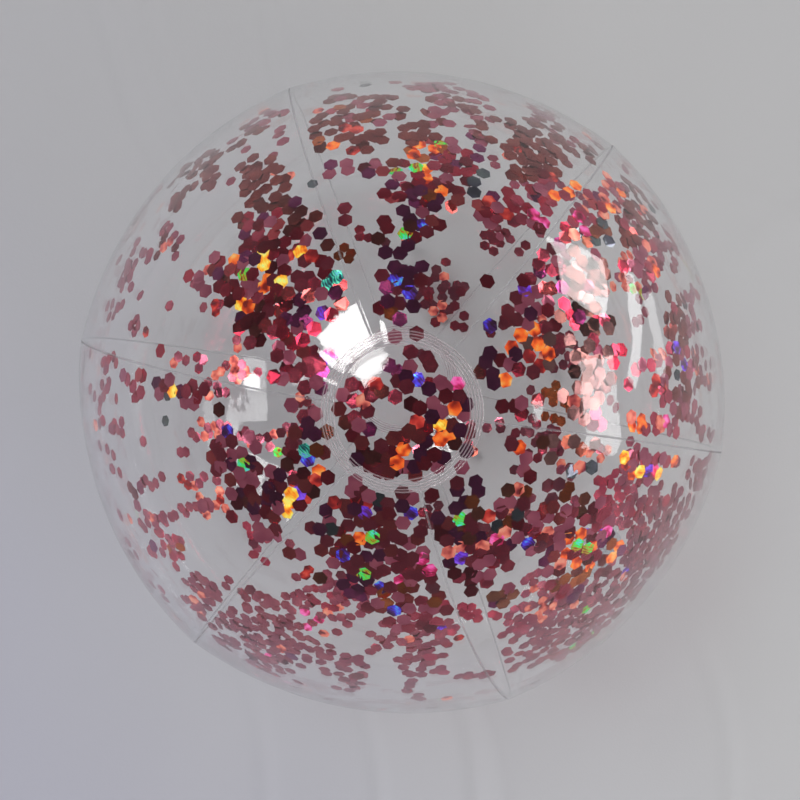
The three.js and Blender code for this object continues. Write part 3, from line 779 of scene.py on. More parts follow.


# ----------------------------------------------------------------- confetti
# Clumps of loose foil hexagons, held to the inside of the film by static. Each row is a clump: U for the upper half
# of the ball or L for the lower, the plan position of its middle, its half widths (all in millimetres), how many
# flakes it holds, and its mix of foils.
# L rows and the rim rows are mostly R, the rose foil whose paler colour is painted light and haze for flakes seen
# through the far side
CLUMPS = [
    ("U", 16, 120, 15, 4, 14, "RRRRRRRRRR"),
    ("U", -14, 112, 23, 5, 24, "BBBBBBBBRR"),
    ("U", 56, 112, 12, 4, 9, "RRRRRRRRRR"),
    ("U", 24, 110, 16, 9, 31, "RRRRRRBBBB"),
    ("U", -54, 108, 9, 3, 9, "RRRRRRRRRg"),
    ("U", 48, 102, 14, 8, 25, "BBBBBBBBBB"),
    ("U", -20, 102, 13, 9, 32, "BBBBBBBBBmuro"),
    ("U", -66, 100, 12, 7, 8, "BBBBBRRRRR"),
    ("U", 4, 100, 8, 4, 9, "BBBBBBBBBB"),
    ("U", -46, 100, 3, 2, 3, "RRRRRRRRRR"),
    ("U", 30, 98, 4, 4, 4, "DDDDDDDDDD"),
    ("U", 74, 96, 6, 4, 7, "BBBBBBBBBB"),
    ("U", 48, 92, 10, 10, 27, "BBBBBBBBBr"),
    ("U", 60, 92, 7, 3, 4, "BBBBBBBBBB"),
    ("U", -50, 90, 15, 3, 7, "BBBBBBBBBB"),
    ("U", 12, 88, 9, 11, 32, "DDDDooMMuyg"),
    ("U", -18, 86, 10, 6, 8, "DDDDDDDDDy"),
    ("U", -80, 84, 12, 14, 30, "BBBBBBBBBB"),
    ("U", 24, 84, 4, 8, 12, "DDDDDPPeem"),
    ("U", 0, 82, 7, 7, 20, "DDDDDDDDDg"),
    ("U", -50, 80, 8, 9, 20, "BBBBBBBBBB"),
    ("U", 50, 80, 4, 5, 10, "DDDDDDDDDD"),
    ("U", 76, 76, 8, 4, 10, "DDDDSSSSoo"),
    ("U", 8, 74, 12, 4, 18, "DDDDDDPPPP"),
    ("U", 34, 72, 8, 5, 14, "DDDDDDrrrro"),
    ("U", 88, 72, 9, 14, 33, "BBBBBBBBBS"),
    ("U", -60, 68, 4, 2, 2, "BBBBBBBBBB"),
    ("U", -50, 68, 5, 6, 8, "DDDDDDDDDD"),
    ("U", -38, 68, 9, 4, 8, "BBBBBBBBBD"),
    ("U", 44, 68, 7, 3, 10, "DDDDDMMMmm"),
    ("U", 64, 68, 5, 4, 8, "MMMMMmmmmm"),
    ("U", -24, 68, 4, 3, 2, "vvvvvvvvvv"),
    ("U", 6, 66, 6, 3, 6, "PPPPPPbbbDD"),
    ("U", 70, 64, 7, 4, 14, "EEEEEeeeee"),
    ("U", -8, 60, 2, 6, 4, "DDDDDDDDDD"),
    ("U", -50, 60, 8, 6, 14, "DDDDDDDDDD"),
    ("U", -34, 52, 10, 3, 16, "DDDDDDMMrry"),
    ("U", 48, 52, 7, 6, 8, "MMMMMMMPPD"),
    ("U", 88, 52, 5, 4, 6, "MMMMMDDDDD"),
    ("U", -72, 48, 13, 5, 12, "DDDDDDDBBB"),
    ("U", 65, 47, 8, 11, 26, "WWWWWWRw"),
    ("U", -52, 44, 12, 11, 40, "DDDDDNooyg"),
    ("U", 34, 42, 6, 3, 10, "DDDDDDDuuu"),
    ("U", -2, 42, 6, 9, 21, "PPPPDDDbbbu"),
    ("U", -32, 40, 14, 10, 39, "DDDDDbgtPv"),
    ("U", 112, 36, 3, 11, 12, "RRRRRRRRRR"),
    ("U", 60, 33, 9, 5, 10, "WMDDDDDP"),
    ("U", 44, 34, 8, 11, 36, "MMMMDDDoevb"),
    ("U", -40, 32, 5, 6, 8, "DDDDDDDMMM"),
    ("U", 72, 32, 4, 5, 5, "WwWWwMS"),
    ("U", 104, 32, 4, 11, 14, "BBBBBBBBBB"),
    ("U", 30, 30, 3, 2, 2, "bbbbbbbbbb"),
    ("U", -52, 28, 6, 5, 9, "DDDDDDDDDD"),
    ("U", -6, 28, 5, 5, 9, "MMMMMMMMMM"),
    ("U", 4, 24, 6, 3, 9, "MMMMPPPPm"),
    ("U", 76, 20, 2, 3, 4, "DDDDDDDDDD"),
    ("U", 44, 18, 7, 4, 8, "DDDDoooorrr"),
    ("U", -36, 16, 10, 9, 30, "MMMMMDDDDvv"),
    ("U", -24, 16, 5, 4, 6, "MMMMMmmmmm"),
    ("U", 88, 16, 3, 7, 3, "MMMMMMMMMM"),
    ("U", 68, 14, 6, 11, 22, "wwwwwMSW"),
    ("U", 32, 14, 4, 6, 15, "DDDDDDDDDo"),
    ("U", 0, 14, 5, 2, 6, "PPPPPPPrrmm"),
    ("U", -90, 12, 6, 3, 6, "DDDDDDDDDD"),
    ("U", 18, 12, 5, 3, 7, "DDDDDDDDDD"),
    ("U", 106, 10, 7, 14, 26, "BBBBBRRRvv"),
    ("U", -28, 8, 9, 4, 12, "DDDDDMMPP"),
    ("U", 2, 8, 14, 4, 26, "DDDDDrrMeb"),
    ("U", -102, 8, 6, 5, 5, "MMMMMMMMMM"),
    ("U", -80, 6, 9, 4, 10, "DDDDDDDDyy"),
    ("U", 96, 6, 3, 6, 8, "rrrDDDooMM"),
    ("U", 48, 4, 2, 2, 2, "DDDDDDDDDD"),
    ("U", 64, 4, 6, 6, 12, "wwwwwNSe"),
    ("U", 38, 0, 5, 3, 8, "DDDDDDDDmm"),
    ("U", 14, 0, 11, 10, 43, "DDDyyoPorm"),
    ("U", -16, 0, 7, 10, 26, "PPPDDDbbvMSo"),
    ("U", 86, -4, 4, 2, 3, "SSSSSooooo"),
    ("U", 68, -6, 4, 6, 9, "wwwwwMS"),
    ("U", -30, -8, 5, 2, 4, "PPPuuuDDD"),
    ("U", -34, -12, 6, 5, 13, "DDDoouubyt"),
    ("U", 38, -12, 2, 2, 2, "SSSSSooooo"),
    ("U", 6, -14, 16, 9, 43, "DDDDDDPPbo"),
    ("U", -8, -16, 9, 5, 12, "DDDDDPPrr"),
    ("U", 92, -16, 11, 10, 37, "MMMMSSoyrvDm"),
    ("U", -60, -16, 8, 7, 18, "DDDDMNNbbbg"),
    ("U", 44, -20, 3, 3, 5, "DDDDDDDDDD"),
    ("U", 4, -22, 8, 3, 9, "DDDDDDDDDD"),
    ("U", 64, -22, 3, 2, 4, "SSSSSeeeee"),
    ("U", -34, -26, 8, 4, 12, "vvvDDDrrr"),
    ("U", -18, -28, 5, 6, 13, "DDDDDMMMur"),
    ("U", 56, -28, 5, 3, 6, "RRRRRuuuuu"),
    ("U", 22, -28, 5, 4, 11, "PPPMMMuuoe"),
    ("U", -54, -30, 8, 7, 17, "DDDDNNPPb"),
    ("U", -8, -34, 11, 8, 36, "DDDDMMNFFbev"),
    ("U", -44, -34, 8, 5, 13, "PPDDNNyg"),
    ("U", -72, -36, 2, 2, 2, "MMMMMMMMMM"),
    ("U", 68, -36, 7, 4, 15, "MMMMMDErgD"),
    ("U", 40, -36, 9, 7, 15, "eMMEDuurrS"),
    ("U", -60, -38, 2, 2, 3, "DDDDDDDDDD"),
    ("U", 24, -38, 4, 8, 14, "MMMMEMMuge"),
    ("U", 56, -40, 9, 7, 20, "DDDMMNNFS"),
    ("U", -28, -40, 5, 5, 6, "eeePPPMMM"),
    ("U", 16, -40, 3, 2, 5, "yyyyyyyooo"),
    ("U", 32, -42, 2, 6, 4, "mmmmmmmmmm"),
    ("U", -48, -44, 4, 3, 5, "DDDDDMMMMM"),
    ("U", 72, -44, 6, 4, 6, "MMMMMmmmmm"),
    ("U", -22, -48, 6, 7, 19, "DDDDuoMbg"),
    ("U", 46, -48, 10, 5, 13, "PDDNNMRb"),
    ("U", 64, -50, 4, 6, 11, "oooooDDDgg"),
    ("U", -36, -52, 3, 2, 2, "DDDDDDDDDD"),
    ("U", -12, -52, 10, 8, 26, "DDDMMMooPg"),
    ("U", 4, -52, 9, 10, 24, "MMMNNMMFFm"),
    ("U", 36, -52, 4, 4, 5, "MMMMMMMMMM"),
    ("U", 12, -54, 6, 9, 17, "MMMRRMMDDD"),
    ("U", 24, -54, 8, 11, 29, "MMMNNDDvS"),
    ("U", 56, -56, 4, 4, 10, "DDDDDSSSPP"),
    ("U", -16, -64, 4, 4, 7, "PPPPPPPPPm"),
    ("U", 36, -68, 6, 2, 6, "DDDDDEEEEE"),
    ("U", 2, -68, 16, 7, 33, "DDMMMNNFubg"),
    ("U", 4, -76, 8, 4, 10, "MMMMMMMMMM"),
    ("U", 12, 20, 4, 3, 4, "DDM"),
    ("U", -33, 2, 5, 8, 11, "DDDPPMMb"),
    ("U", -32, -13, 5, 8, 11, "DDPPubo"),
    ("U", -27, -27, 7, 5, 9, "DDPMuo"),
    ("U", -12, -34, 7, 4, 7, "DDPP"),
    ("U", 72, -55, 9, 7, 20, "DDDMMBPuo"),
    ("U", 60, -66, 7, 5, 11, "DDMMu"),
    ("U", 20, -46, 6, 5, 8, "MMMDPv"),
    ("U", 70, 80, 14, 12, 7, "SSo"),
    ("U", 92, 52, 8, 16, 7, "SSoM"),
    ("U", 60, 70, 12, 9, 5, "SSMo"),
    ("U", 100, 22, 6, 20, 5, "SSr"),
    ("U", 52, 20, 8, 8, 5, "wwMeS"),
    ("U", 58, -12, 8, 6, 6, "wwSuE"),
    ("U", -31, 4, 5, 7, 9, "DDDPPMv"),
    ("U", 1, 62, 7, 6, 4, "DDDPg"),
    ("U", 57, 62, 8, 5, 8, "DDDMeS"),
    ("U", 3, 49, 6, 5, 3, "DDPE"),
    ("U", 60, 44, 6, 5, 5, "DDPDM"),
    ("U", 14, -36, 6, 4, 3, "DDPMu"),
    ("U", -33, -20, 6, 5, 9, "DDPPbo"),
    ("U", -30, 62, 6, 4, 5, "DDB"),
    ("U", -47, -22, 6, 5, 4, "DDPMbb"),
    ("U", -29, 11, 4, 5, 5, "DDPM"),
    ("U", -100, -38, 5, 6, 4, "RRB"),
    ("U", 20, -9, 5, 5, 6, "oooyS"),
    ("L", 44, 104, 2, 6, 2, "RRRRRRRRRR"),
    ("L", 56, 96, 4, 2, 2, "RRRRRRRRRR"),
    ("L", 68, 92, 8, 5, 9, "RRRRRRSSSS"),
    ("L", 88, 84, 14, 7, 13, "RRRRRRRRSS"),
    ("L", 106, 80, 9, 13, 19, "RRRRRRRRSS"),
    ("L", -20, 72, 3, 5, 3, "MMMMMMMMMM"),
    ("L", 52, 70, 13, 5, 12, "RRRRRRRRRR"),
    ("L", -108, 64, 5, 10, 12, "BBBBBBBSSRR"),
    ("L", 116, 64, 7, 19, 32, "RRRRRRRRRR"),
    ("L", -26, 64, 8, 3, 4, "uuuuuuuuuu"),
    ("L", -120, 56, 6, 11, 15, "RRRRRRRRRR"),
    ("L", 104, 54, 10, 7, 9, "SSSSSSSSSS"),
    ("L", 20, 46, 16, 9, 22, "RRRRRMMMSS"),
    ("L", 112, 40, 4, 7, 4, "SSSSSggggg"),
    ("L", -92, 38, 6, 4, 4, "rrrrrrrrMM"),
    ("L", -126, 36, 4, 10, 6, "RRRRRRRRRR"),
    ("L", 24, 34, 8, 9, 15, "MMMMMMMSSS"),
    ("L", 112, 32, 3, 6, 3, "RRRRRRRRRR"),
    ("L", -120, 28, 4, 3, 5, "RRRRRRrrrr"),
    ("L", 72, 28, 8, 6, 7, "SSSSSRRRRR"),
    ("L", 76, 16, 14, 8, 20, "RRRRRRRSSS"),
    ("L", 132, 14, 4, 12, 11, "RRRRRRRSSS"),
    ("L", -104, 12, 6, 3, 3, "SSSSSSSSSS"),
    ("L", -96, 12, 3, 6, 3, "RRRRRRRRRR"),
    ("L", -128, 12, 4, 3, 5, "MMMMMMRRRR"),
    ("L", -80, 4, 13, 7, 12, "RRRRRRSSSS"),
    ("L", -132, 2, 4, 10, 6, "RRRRRRRRRR"),
    ("L", 78, -6, 10, 4, 6, "uuuuuuuuuu"),
    ("L", 128, -8, 5, 10, 14, "RRRRRRRRRR"),
    ("L", 100, -8, 3, 7, 3, "RRRRRRRRRR"),
    ("L", -52, -12, 6, 3, 5, "SSSSSSRRRR"),
    ("L", -130, -16, 4, 5, 6, "RRRRRRRMMM"),
    ("L", 76, -16, 7, 4, 4, "uuuuuuuuuu"),
    ("L", -92, -22, 10, 5, 12, "SSSSSSRRM"),
    ("L", 48, -24, 5, 3, 3, "RRRRRRRRRR"),
    ("L", -68, -28, 15, 8, 15, "RRRRRRRSSSg"),
    ("L", 66, -30, 12, 10, 19, "RRRRRRRMMM"),
    ("L", -104, -32, 2, 3, 2, "RRRRRRRRRR"),
    ("L", 96, -32, 4, 6, 5, "SSSSSSSSSS"),
    ("L", 108, -32, 6, 7, 7, "RRRRRRRRRR"),
    ("L", 36, -36, 3, 3, 2, "SSSSSSSSSS"),
    ("L", 128, -36, 7, 22, 35, "RRRRRRRRRR"),
    ("L", -118, -42, 5, 3, 5, "RRRRRRMMMM"),
    ("L", 82, -42, 7, 3, 5, "SSSSSRRRRR"),
    ("L", -102, -44, 6, 4, 6, "rrrrSSSSRR"),
    ("L", -56, -44, 3, 3, 2, "MMMMMMMMMM"),
    ("L", 114, -48, 12, 12, 38, "RRRRRRRMMM"),
    ("L", 104, -52, 11, 8, 18, "MMMMMMMMMM"),
    ("L", -94, -56, 15, 6, 9, "RRRRRSSSmm"),
    ("L", 88, -56, 4, 2, 3, "SSSSSSSSSS"),
    ("L", 120, -56, 6, 14, 14, "RRRRRRRRRR"),
    ("L", -112, -60, 4, 8, 5, "RRRRRRRRSS"),
    ("L", 108, -62, 14, 8, 42, "RRRRRRRMMM"),
    ("L", -102, -72, 14, 7, 17, "RRRRRMMMMSu"),
    ("L", 108, -72, 14, 7, 36, "RRRRRRRRRR"),
    ("L", -72, -76, 8, 7, 8, "MMMMMRRRRR"),
    ("L", 96, -76, 10, 8, 24, "vvMMRRSS"),
    ("L", 96, -88, 11, 8, 34, "RRRRRRRRRR"),
    ("L", -44, -92, 6, 3, 4, "rrrrrrrrrr"),
    ("L", 86, -92, 8, 5, 12, "RRRRRRRRRR"),
    ("L", -92, -96, 9, 10, 22, "RRRRRRRRRS"),
    ("L", -72, -98, 16, 9, 28, "RRRRRRRRRR"),
    ("L", 68, -98, 10, 8, 32, "RRRRRRRSSS"),
    ("L", -38, -100, 14, 6, 26, "RRRRRRMMMM"),
    ("L", 80, -102, 14, 9, 44, "RRRRRRRRRRg"),
    ("L", -74, -104, 14, 7, 25, "RRRRRRRRRR"),
    ("L", -28, -106, 10, 6, 13, "RRRRSSSSmm"),
    ("L", 72, -106, 14, 5, 20, "RRRRRRRRRR"),
    ("L", 36, -108, 8, 2, 8, "MMMMMMMMgg"),
    ("L", -56, -108, 18, 9, 38, "RRRRRRRRRSm"),
    ("L", 50, -108, 9, 6, 12, "RRRRRRRmmv"),
    ("L", 72, -112, 16, 4, 33, "RRRRRRRRRR"),
    ("L", -56, -116, 14, 8, 27, "RRRRRRRRRR"),
    ("L", 24, -116, 4, 2, 5, "rrrrrrvvvv"),
    ("L", 60, -116, 8, 4, 9, "RRRRRRRRRR"),
    ("L", 16, -118, 8, 9, 20, "RRRRRRRRRg"),
    ("L", 0, -120, 15, 6, 22, "RRRRRRRRSS"),
    ("L", -46, -124, 14, 6, 23, "RRRRRRRRRR"),
    ("L", 52, -124, 10, 3, 8, "RRRRRRRRRR"),
    ("L", -28, -126, 12, 6, 20, "RRRRRRRRRR"),
    ("L", 2, -128, 16, 6, 20, "RRRRRRRRRR"),
    ("L", 36, -128, 10, 4, 7, "RRRRRRRRRR"),
    ("L", -80, 10, 20, 26, 3, "SSm"),
    ("L", -86, -60, 18, 20, 5, "SSr"),
    ("L", -110, -58, 6, 7, 7, "RRRM"),
    ("L", -92, -2, 5, 5, 3, "RRS"),
    ("L", 34, -76, 12, 7, 16, "RRRRMS"),
    ("L", 18, -66, 9, 7, 10, "RRRM"),
    ("L", 58, -62, 9, 7, 12, "RRRRMS"),
]

FLAKE = 5.0 * MM / math.sqrt(3)        # corner radius of a 5 mm hexagon
FLAKE_T = 0.07 * MM
PITCH = 4.45                           # spacing of flakes in a clump, mm
rng = random.Random(4117)
placed = {"U": [], "L": []}            # (unit direction, letter)
grid = {}


def cell(v):
    s = 0.045
    return tuple(int(math.floor(c / s)) for c in v)


def crowd(v, reach):
    """How many flakes lie within reach (in radians) of direction v."""
    cx, cy, cz = cell(v)
    n = 0
    lim = math.cos(reach)
    for i in (-1, 0, 1):
        for j in (-1, 0, 1):
            for k in (-1, 0, 1):
                for w in grid.get((cx + i, cy + j, cz + k), ()):
                    if w.dot(v) > lim:
                        n += 1
    return n


def seam_distance(v):
    """Distance from the nearest seam at the film, in metres."""
    lat = math.asin(max(-1.0, min(1.0, v.z)))
    az = math.atan2(v.y, v.x)
    rho = math.hypot(v.x, v.y) * R
    best = min(abs((az - seam_azimuth(k, lat) + math.pi) % (2 * math.pi) - math.pi) for k in range(GORES))
    return rho * math.sin(min(best, math.pi / 2))


def allowed(v):
    rho = math.hypot(v.x, v.y) * R
    if rho > 23.5 * MM and seam_distance(v) < 2.75 * MM:
        return False
    if 22.0 * MM < rho < 29.5 * MM and rng.random() < 0.72:
        return False
    if (CENTRE + v * R - VALVE.translation).length < 15.5 * MM:
        return False
    return True


def add_flake(v, letter):
    half = "U" if v.z >= 0 else "L"
    placed[half].append((v.copy(), letter))
    grid.setdefault(cell(v), []).append(v.copy())


def frame_at(v, turn):
    ref = Vector((0, 0, 1)) if abs(v.z) < 0.9 else Vector((0, 1, 0))
    x = ref.cross(v).normalized()
    y = v.cross(x)
    c, s = math.cos(turn), math.sin(turn)
    return x * c + y * s, y * c - x * s


def on_ball(v, x, y, u, w):
    d = math.hypot(u, w)
    if d < 1e-9:
        return v.copy()
    t = (x * u + y * w) / d
    return (v * math.cos(d) + t * math.sin(d)).normalized()


def choose(mix, half):
    """A foil for one flake. Only a share of the bright ones catch the light at once."""
    letter = rng.choice(mix)
    # bright foils left out here are swapped for plain ones: on the lower half that is R, the rose foil with its painted
    # paler, hazier look
    if letter in "Sbvmr" and rng.random() < 0.4:
        letter = "M" if half == "U" else "R"
    elif letter in "oygt" and rng.random() < 0.25:
        letter = "D" if half == "U" else "R"
    if letter == "M" and half == "U" and rng.random() < 0.3:
        letter = "N"
    if letter == "D":
        u = rng.random()
        for share, other in ((0.13, "P"), (0.23, "M"), (0.27, "B"), (0.37, "d"), (0.54, "F"), (0.70, "N"), (1.0, "D")):
            if u < share:
                return other
    return letter


def grow(half, cx, cy, a, b, count, mix):
    rng.seed(cx * 1013 + cy * 31 + count + (7 if half == "U" else 0) + 90001)
    cx, cy, a, b = cx * MM, cy * MM, a * MM, b * MM
    rho = min(math.hypot(cx, cy), R * 0.985)
    k = rho / max(math.hypot(cx, cy), 1e-9)
    cx, cy = cx * k, cy * k
    z = math.sqrt(max(R * R - cx * cx - cy * cy, 1e-9)) * (1 if half == "U" else -1)
    v = Vector((cx, cy, z)).normalized()
    x, y = frame_at(v, rng.uniform(0, math.pi))
    step = PITCH * MM / R
    seen = {(0, 0)}
    front = [(0, 0)]
    done = 0
    while front and done < count:
        i = len(front) - 1 - min(int(rng.expovariate(0.22)), len(front) - 1)
        ci, cj = front.pop(i)
        u = (ci + cj / 2) * step + rng.gauss(0, 0.0060)
        w = cj * 0.866 * step + rng.gauss(0, 0.0060)
        p = on_ball(v, x, y, u, w)
        px, py = p.x * R, p.y * R
        inside = ((px - cx) / (a + 1.5 * MM)) ** 2 + ((py - cy) / (b + 1.5 * MM)) ** 2
        if inside > 1.0 or (p.z >= 0) != (half == "U"):
            continue
        if allowed(p) and crowd(p, 0.0185) == 0:
            add_flake(p, choose(mix, half))
            done += 1
        near = [(1, 0), (-1, 0), (0, 1), (0, -1), (1, -1), (-1, 1)]
        rng.shuffle(near)
        for di, dj in near:
            q = (ci + di, cj + dj)
            if q not in seen and rng.random() < 0.93:
                seen.add(q)
                front.append(q)
    return done


for row in CLUMPS:
    grow(*row)

# a thin scatter everywhere
for half, count, mix in (("U", 42, "DDDBMPE"), ("L", 90, "RRRRMSRe")):
    tries = 0
    while count and tries < 20000:
        tries += 1
        v = Vector((rng.gauss(0, 1), rng.gauss(0, 1), abs(rng.gauss(0, 1)))).normalized()
        if half == "L":
            v.z = -v.z
        if allowed(v) and crowd(v, 0.045) == 0:
            add_flake(v, rng.choice(mix))
            count -= 1

# small groups round the middle of the ball
for _ in range(26):
    lat, az = math.radians(rng.uniform(-17, 17)), rng.uniform(0, 2 * math.pi)
    v = Vector((math.cos(lat) * math.cos(az), math.cos(lat) * math.sin(az), math.sin(lat)))
    x, y = frame_at(v, rng.uniform(0, math.pi))
    for k in range(rng.choice((1, 2, 3, 3, 5))):
        p = on_ball(v, x, y, k * 4.6 * MM / R + rng.gauss(0, 0.004), rng.gauss(0, 0.024))
        if allowed(p) and crowd(p, 0.030) == 0:
            add_flake(p, rng.choice("RRRMRS" if p.z < 0 else "RRDBMR"))


def inner_radius(v):
    """Radius of the inside of the film in a direction from the ball's centre."""
    rho = math.hypot(v.x, v.y)
    if rho * R < 23.0 * MM:
        top = math.sqrt(PATCH_OUT ** 2 - REST_R ** 2)
        u = min(1.0, rho * R / REST_R)
        lift = DOME * (1 - u * u) ** 1.15 if v.z > 0 else 0.0
        return (top - 0.45 * MM + lift) / abs(v.z)
    lat = math.asin(max(-1, min(1, v.z)))
    gore, off = locate(math.atan2(v.y, v.x), lat)
    return film_radius(gore, off, lat) - FILM


def flake_group(v):
    return locate(math.atan2(v.y, v.x), math.asin(max(-1.0, min(1.0, v.z))))[0]


def build_flakes(name, flakes, cad):
    verts, faces, mats = [], [], []
    for v, letter in flakes:
        x, y = frame_at(v, rng.uniform(0, math.pi))
        tilt = abs(rng.gauss(0, 0.085))
        if rng.random() < 0.03:
            tilt += rng.uniform(0.1, 0.35)
        way = rng.uniform(0, 2 * math.pi)
        lean = x * math.cos(way) + y * math.sin(way)
        nrm = (v + lean * tilt).normalized()
        ex = (x - nrm * x.dot(nrm)).normalized()
        ey = nrm.cross(ex)
        off = 0.1 * MM + FLAKE * math.sin(tilt) + rng.uniform(0, 0.55) * MM
        c = CENTRE + v * (inner_radius(v) - off)
        curl = rng.uniform(-0.08, 0.12) * MM
        n0 = len(verts)
        for sgn in (1, -1):
            for k in range(6):
                a = math.pi / 3 * k
                verts.append(c + ex * (FLAKE * math.cos(a)) + ey * (FLAKE * math.sin(a))
                             + nrm * (sgn * FLAKE_T / 2 + curl * math.cos(2 * a)))
        faces.append(tuple(n0 + k for k in range(6)))
        faces.append(tuple(n0 + 6 + k for k in reversed(range(6))))
        for k in range(6):
            k2 = (k + 1) % 6
            faces.append((n0 + k, n0 + 6 + k, n0 + 6 + k2, n0 + k2))
        mats += [LETTERS.index(letter)] * 8
    used = sorted(set(mats))
    remap = {m: i for i, m in enumerate(used)}
    ob = make_object(name, verts, faces, [FOILS[LETTERS[m]] for m in used], [remap[m] for m in mats], None)
    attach(ob, "ball")
    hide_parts(cad)
    return ob


total = 0
for h, half in enumerate(("U", "L")):
    for g in range(GORES):
        group = [f for f in placed[half] if flake_group(f[0]) == g]
        total += len(group)
        label = "upper" if half == "U" else "lower"
        build_flakes(f"confetti_{label}_{g + 1}", group, f"confetti_{h * GORES + g + 1:02d}")
print("FLAKES", total, len(placed["U"]), len(placed["L"]))

# -------------------------------------------------------------------- stage
inner = np.linspace(-0.33, 0.33, 241)
outer = 0.33 * (3.2 / 0.33) ** (np.arange(1, 31) / 30)
line = np.concatenate([-outer[::-1], inner, outer])
N = len(line) - 1
# soft creases in the sheet, clear of the ball: two ends, height and half width
CREASES = ((-0.175, 0.225, -0.117, 0.104, 1.5, 4.5), (-0.155, 0.26, -0.100, 0.118, 1.0, 3.5),
           (-0.080, 0.270, -0.056, 0.140, 1.6, 4.0), (-0.070, 0.300, -0.060, 0.165, -1.0, 3.0),
           (-0.082, -0.150, -0.068, -0.240, 1.3, 5.0), (-0.030, -0.150, -0.002, -0.250, 1.6, 4.0),
           (0.024, -0.152, 0.046, -0.250, 1.9, 4.5), (0.036, -0.160, 0.062, -0.260, -1.0, 4.0),
           (0.158, -0.145, 0.180, -0.250, 1.2, 5.0), (0.070, 0.150, 0.200, 0.085, 0.7, 6.0),
           (0.170, 0.060, 0.290, 0.130, 0.8, 7.0), (-0.200, -0.040, -0.330, -0.120, 0.7, 9.0),
           (-0.190, 0.040, -0.300, 0.010, 0.5, 8.0))


def crease(x, y):
    z = 0.0
    for x0, y0, x1, y1, h, w in CREASES:
        dx, dy = x1 - x0, y1 - y0
        length = math.hypot(dx, dy)
        s = ((x - x0) * dx + (y - y0) * dy) / length
        d = ((x - x0) * dy - (y - y0) * dx) / length + 0.004 * math.sin(s * 45)
        if -0.03 < s < length + 0.05 and abs(d) < 4 * w * MM:
            ends = min(1.0, max(0.0, (s + 0.03) / 0.05)) * min(1.0, max(0.0, (length + 0.05 - s) / 0.07))
            z += h * MM * math.exp(-(d / (w * MM)) ** 2) * ends
    return z


verts = []
for yy in line:
    for xx in line:
        d = math.hypot(xx, yy)
        calm = min(1.0, max(0.0, (d - 0.10) / 0.12))
        fold = (0.0022 * math.sin(9.0 * xx + 21.0 * yy + 2.2 * math.sin(5 * xx))
                + 0.0016 * math.sin(-24.0 * xx + 8.0 * yy + 1.5 * math.sin(7 * yy))
                + 0.0007 * math.sin(61 * xx + 23 * yy + 2.0 * math.sin(19 * yy))) + crease(xx, yy)
        fade = max(0.0, 1.0 - d / 1.8)
        verts.append((xx, yy, -0.0002 + (fold - 0.0046) * calm * fade))
faces = []
for j in range(N):
    for i in range(N):
        a = j * (N + 1) + i
        faces.append((a, a + 1, a + N + 2, a + N + 1))

cloth, nt, out = new_material("sheet")
vec = object_coords(nt)
p = node(nt, "ShaderNodeBsdfPrincipled")
mottle = noise(nt, vec, 3.0, 3.0)
# painted cool light: the sheet is a shade cooler towards one corner, in place of cooler light falling on that side
parts = node(nt, "ShaderNodeSeparateXYZ")
nt.links.new(vec, parts.inputs[0])
along = maths(nt, "ADD", maths(nt, "MULTIPLY", parts.outputs["X"], 1.7), maths(nt, "MULTIPLY", parts.outputs["Y"], 1.1))
along = maths(nt, "ADD", along, 0.62)
along = maths(nt, "ADD", along, maths(nt, "MULTIPLY", maths(nt, "SUBTRACT", mottle.outputs["Fac"], 0.5), 0.5), clamp=True)
near = ramp(nt, along, [(0.0, (0.615, 0.618, 0.715)), (0.45, (0.664, 0.664, 0.700)), (0.8, (0.685, 0.685, 0.692))])
# and lighter far from the ball, where less light reaches it
reach = node(nt, "ShaderNodeVectorMath")
reach.operation = "LENGTH"
nt.links.new(vec, reach.inputs[0])
far = maths(nt, "MULTIPLY", maths(nt, "SUBTRACT", reach.outputs["Value"], 0.7), 0.8, clamp=True)
lighter = node(nt, "ShaderNodeMix")
lighter.data_type = "RGBA"
nt.links.new(far, lighter.inputs[0])
for s in lighter.inputs:
    if s.type == "RGBA" and s.name == "A":
        nt.links.new(near, s)
    elif s.type == "RGBA" and s.name == "B":
        s.default_value = (0.93, 0.93, 0.935, 1)
nt.links.new([s for s in lighter.outputs if s.type == "RGBA"][0], p.inputs["Base Color"])
p.inputs["Roughness"].default_value = 0.9
p.inputs["Specular IOR Level"].default_value = 0.15
weave = noise(nt, vec, 900.0, 2.0)
nt.links.new(bump(nt, weave.outputs["Fac"], 0.12, 0.0004), p.inputs["Normal"])
nt.links.new(p.outputs[0], out.inputs["Surface"])
floor = make_object("floor_sheet", verts, faces, [cloth], None, 180)

# ------------------------------------------------------------------- lights
world = bpy.data.worlds.new("room")
scene.world = world
world.use_nodes = True
wn = world.node_tree
wn.nodes.clear()
wo = wn.nodes.new("ShaderNodeOutputWorld")
bg = wn.nodes.new("ShaderNodeBackground")
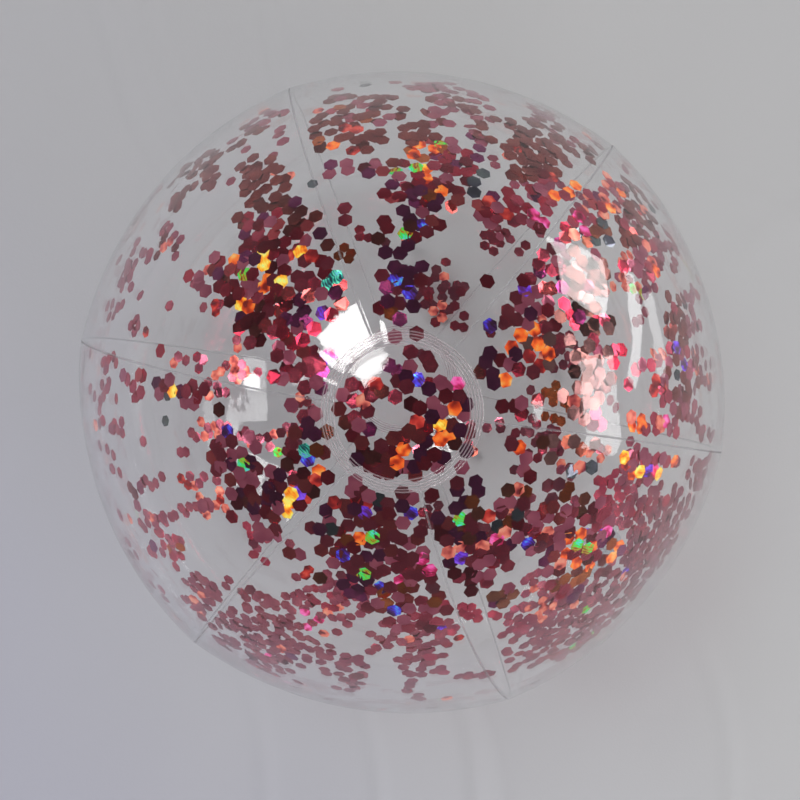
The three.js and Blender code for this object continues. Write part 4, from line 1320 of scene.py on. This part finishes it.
# a room: light walls, and a ceiling that is much dimmer
where = wn.nodes.new("ShaderNodeTexCoord")
split = wn.nodes.new("ShaderNodeSeparateXYZ")
wn.links.new(where.outputs["Generated"], split.inputs[0])
grade = ramp(wn, split.outputs["Z"], [(0.0, (0.36, 0.36, 0.37)), (0.06, (0.30, 0.30, 0.305)), (0.18, (0.19, 0.19, 0.195)),
                                      (0.34, (0.09, 0.09, 0.092)), (0.6, (0.058, 0.058, 0.06)), (1.0, (0.045, 0.045, 0.047))])
wn.links.new(grade, bg.inputs["Color"])
bg.inputs["Strength"].default_value = 1.0
wn.links.new(bg.outputs[0], wo.inputs[0])


def panel(name, az, el, dist, width, height, radiance, colour=(1, 1, 1), diffuse=True, glossy=True, roll=0.0):
    """A soft panel that faces the ball. Its radiance is set, so its power follows from its size."""
    light = bpy.data.lights.new(name, "AREA")
    light.shape = "RECTANGLE"
    light.size, light.size_y = width, height
    light.energy = radiance * math.pi * width * height
    light.color = colour
    ob = bpy.data.objects.new(name, light)
    a, e = math.radians(az), math.radians(el)
    d = Vector((math.cos(e) * math.cos(a), math.cos(e) * math.sin(a), math.sin(e)))
    ob.location = CENTRE + d * dist
    ob.rotation_euler = ((-d).to_track_quat("-Z", "Y") @ Quaternion((0, 0, 1), math.radians(roll))).to_euler()
    ob.visible_camera = False
    ob.visible_diffuse = diffuse
    ob.visible_glossy = glossy
    scene.collection.objects.link(ob)
    return ob


panel("window_key", 130, 64, 1.7, 0.50, 0.44, 11.0, (1.0, 0.99, 0.97))
panel("ceiling", 0, 88, 2.5, 8.0, 8.0, 0.362, (0.975, 0.98, 1.0), glossy=False)
panel("fill_low_right", -42, 34, 1.2, 0.9, 0.9, 1.75, (1.0, 0.985, 1.0), glossy=False)
panel("window_right_a", 32.5, 16.5, 0.9, 0.24, 0.265, 6.2, (1.0, 0.995, 0.98), diffuse=False, roll=45)
panel("window_right_b", 16, 8, 0.6, 0.29, 0.048, 4.2, diffuse=False, roll=-29)
panel("window_right_c", -2.6, 24.5, 1.2, 0.58, 0.29, 4.0, diffuse=False)
panel("window_right_d", 13, -1, 0.6, 0.185, 0.055, 2.2, diffuse=False, roll=-8)
panel("window_left", 171, 42, 1.5, 0.15, 0.12, 11.0, diffuse=False, roll=45)
panel("window_small", -1, 47, 1.5, 0.10, 0.10, 4.0, diffuse=False)
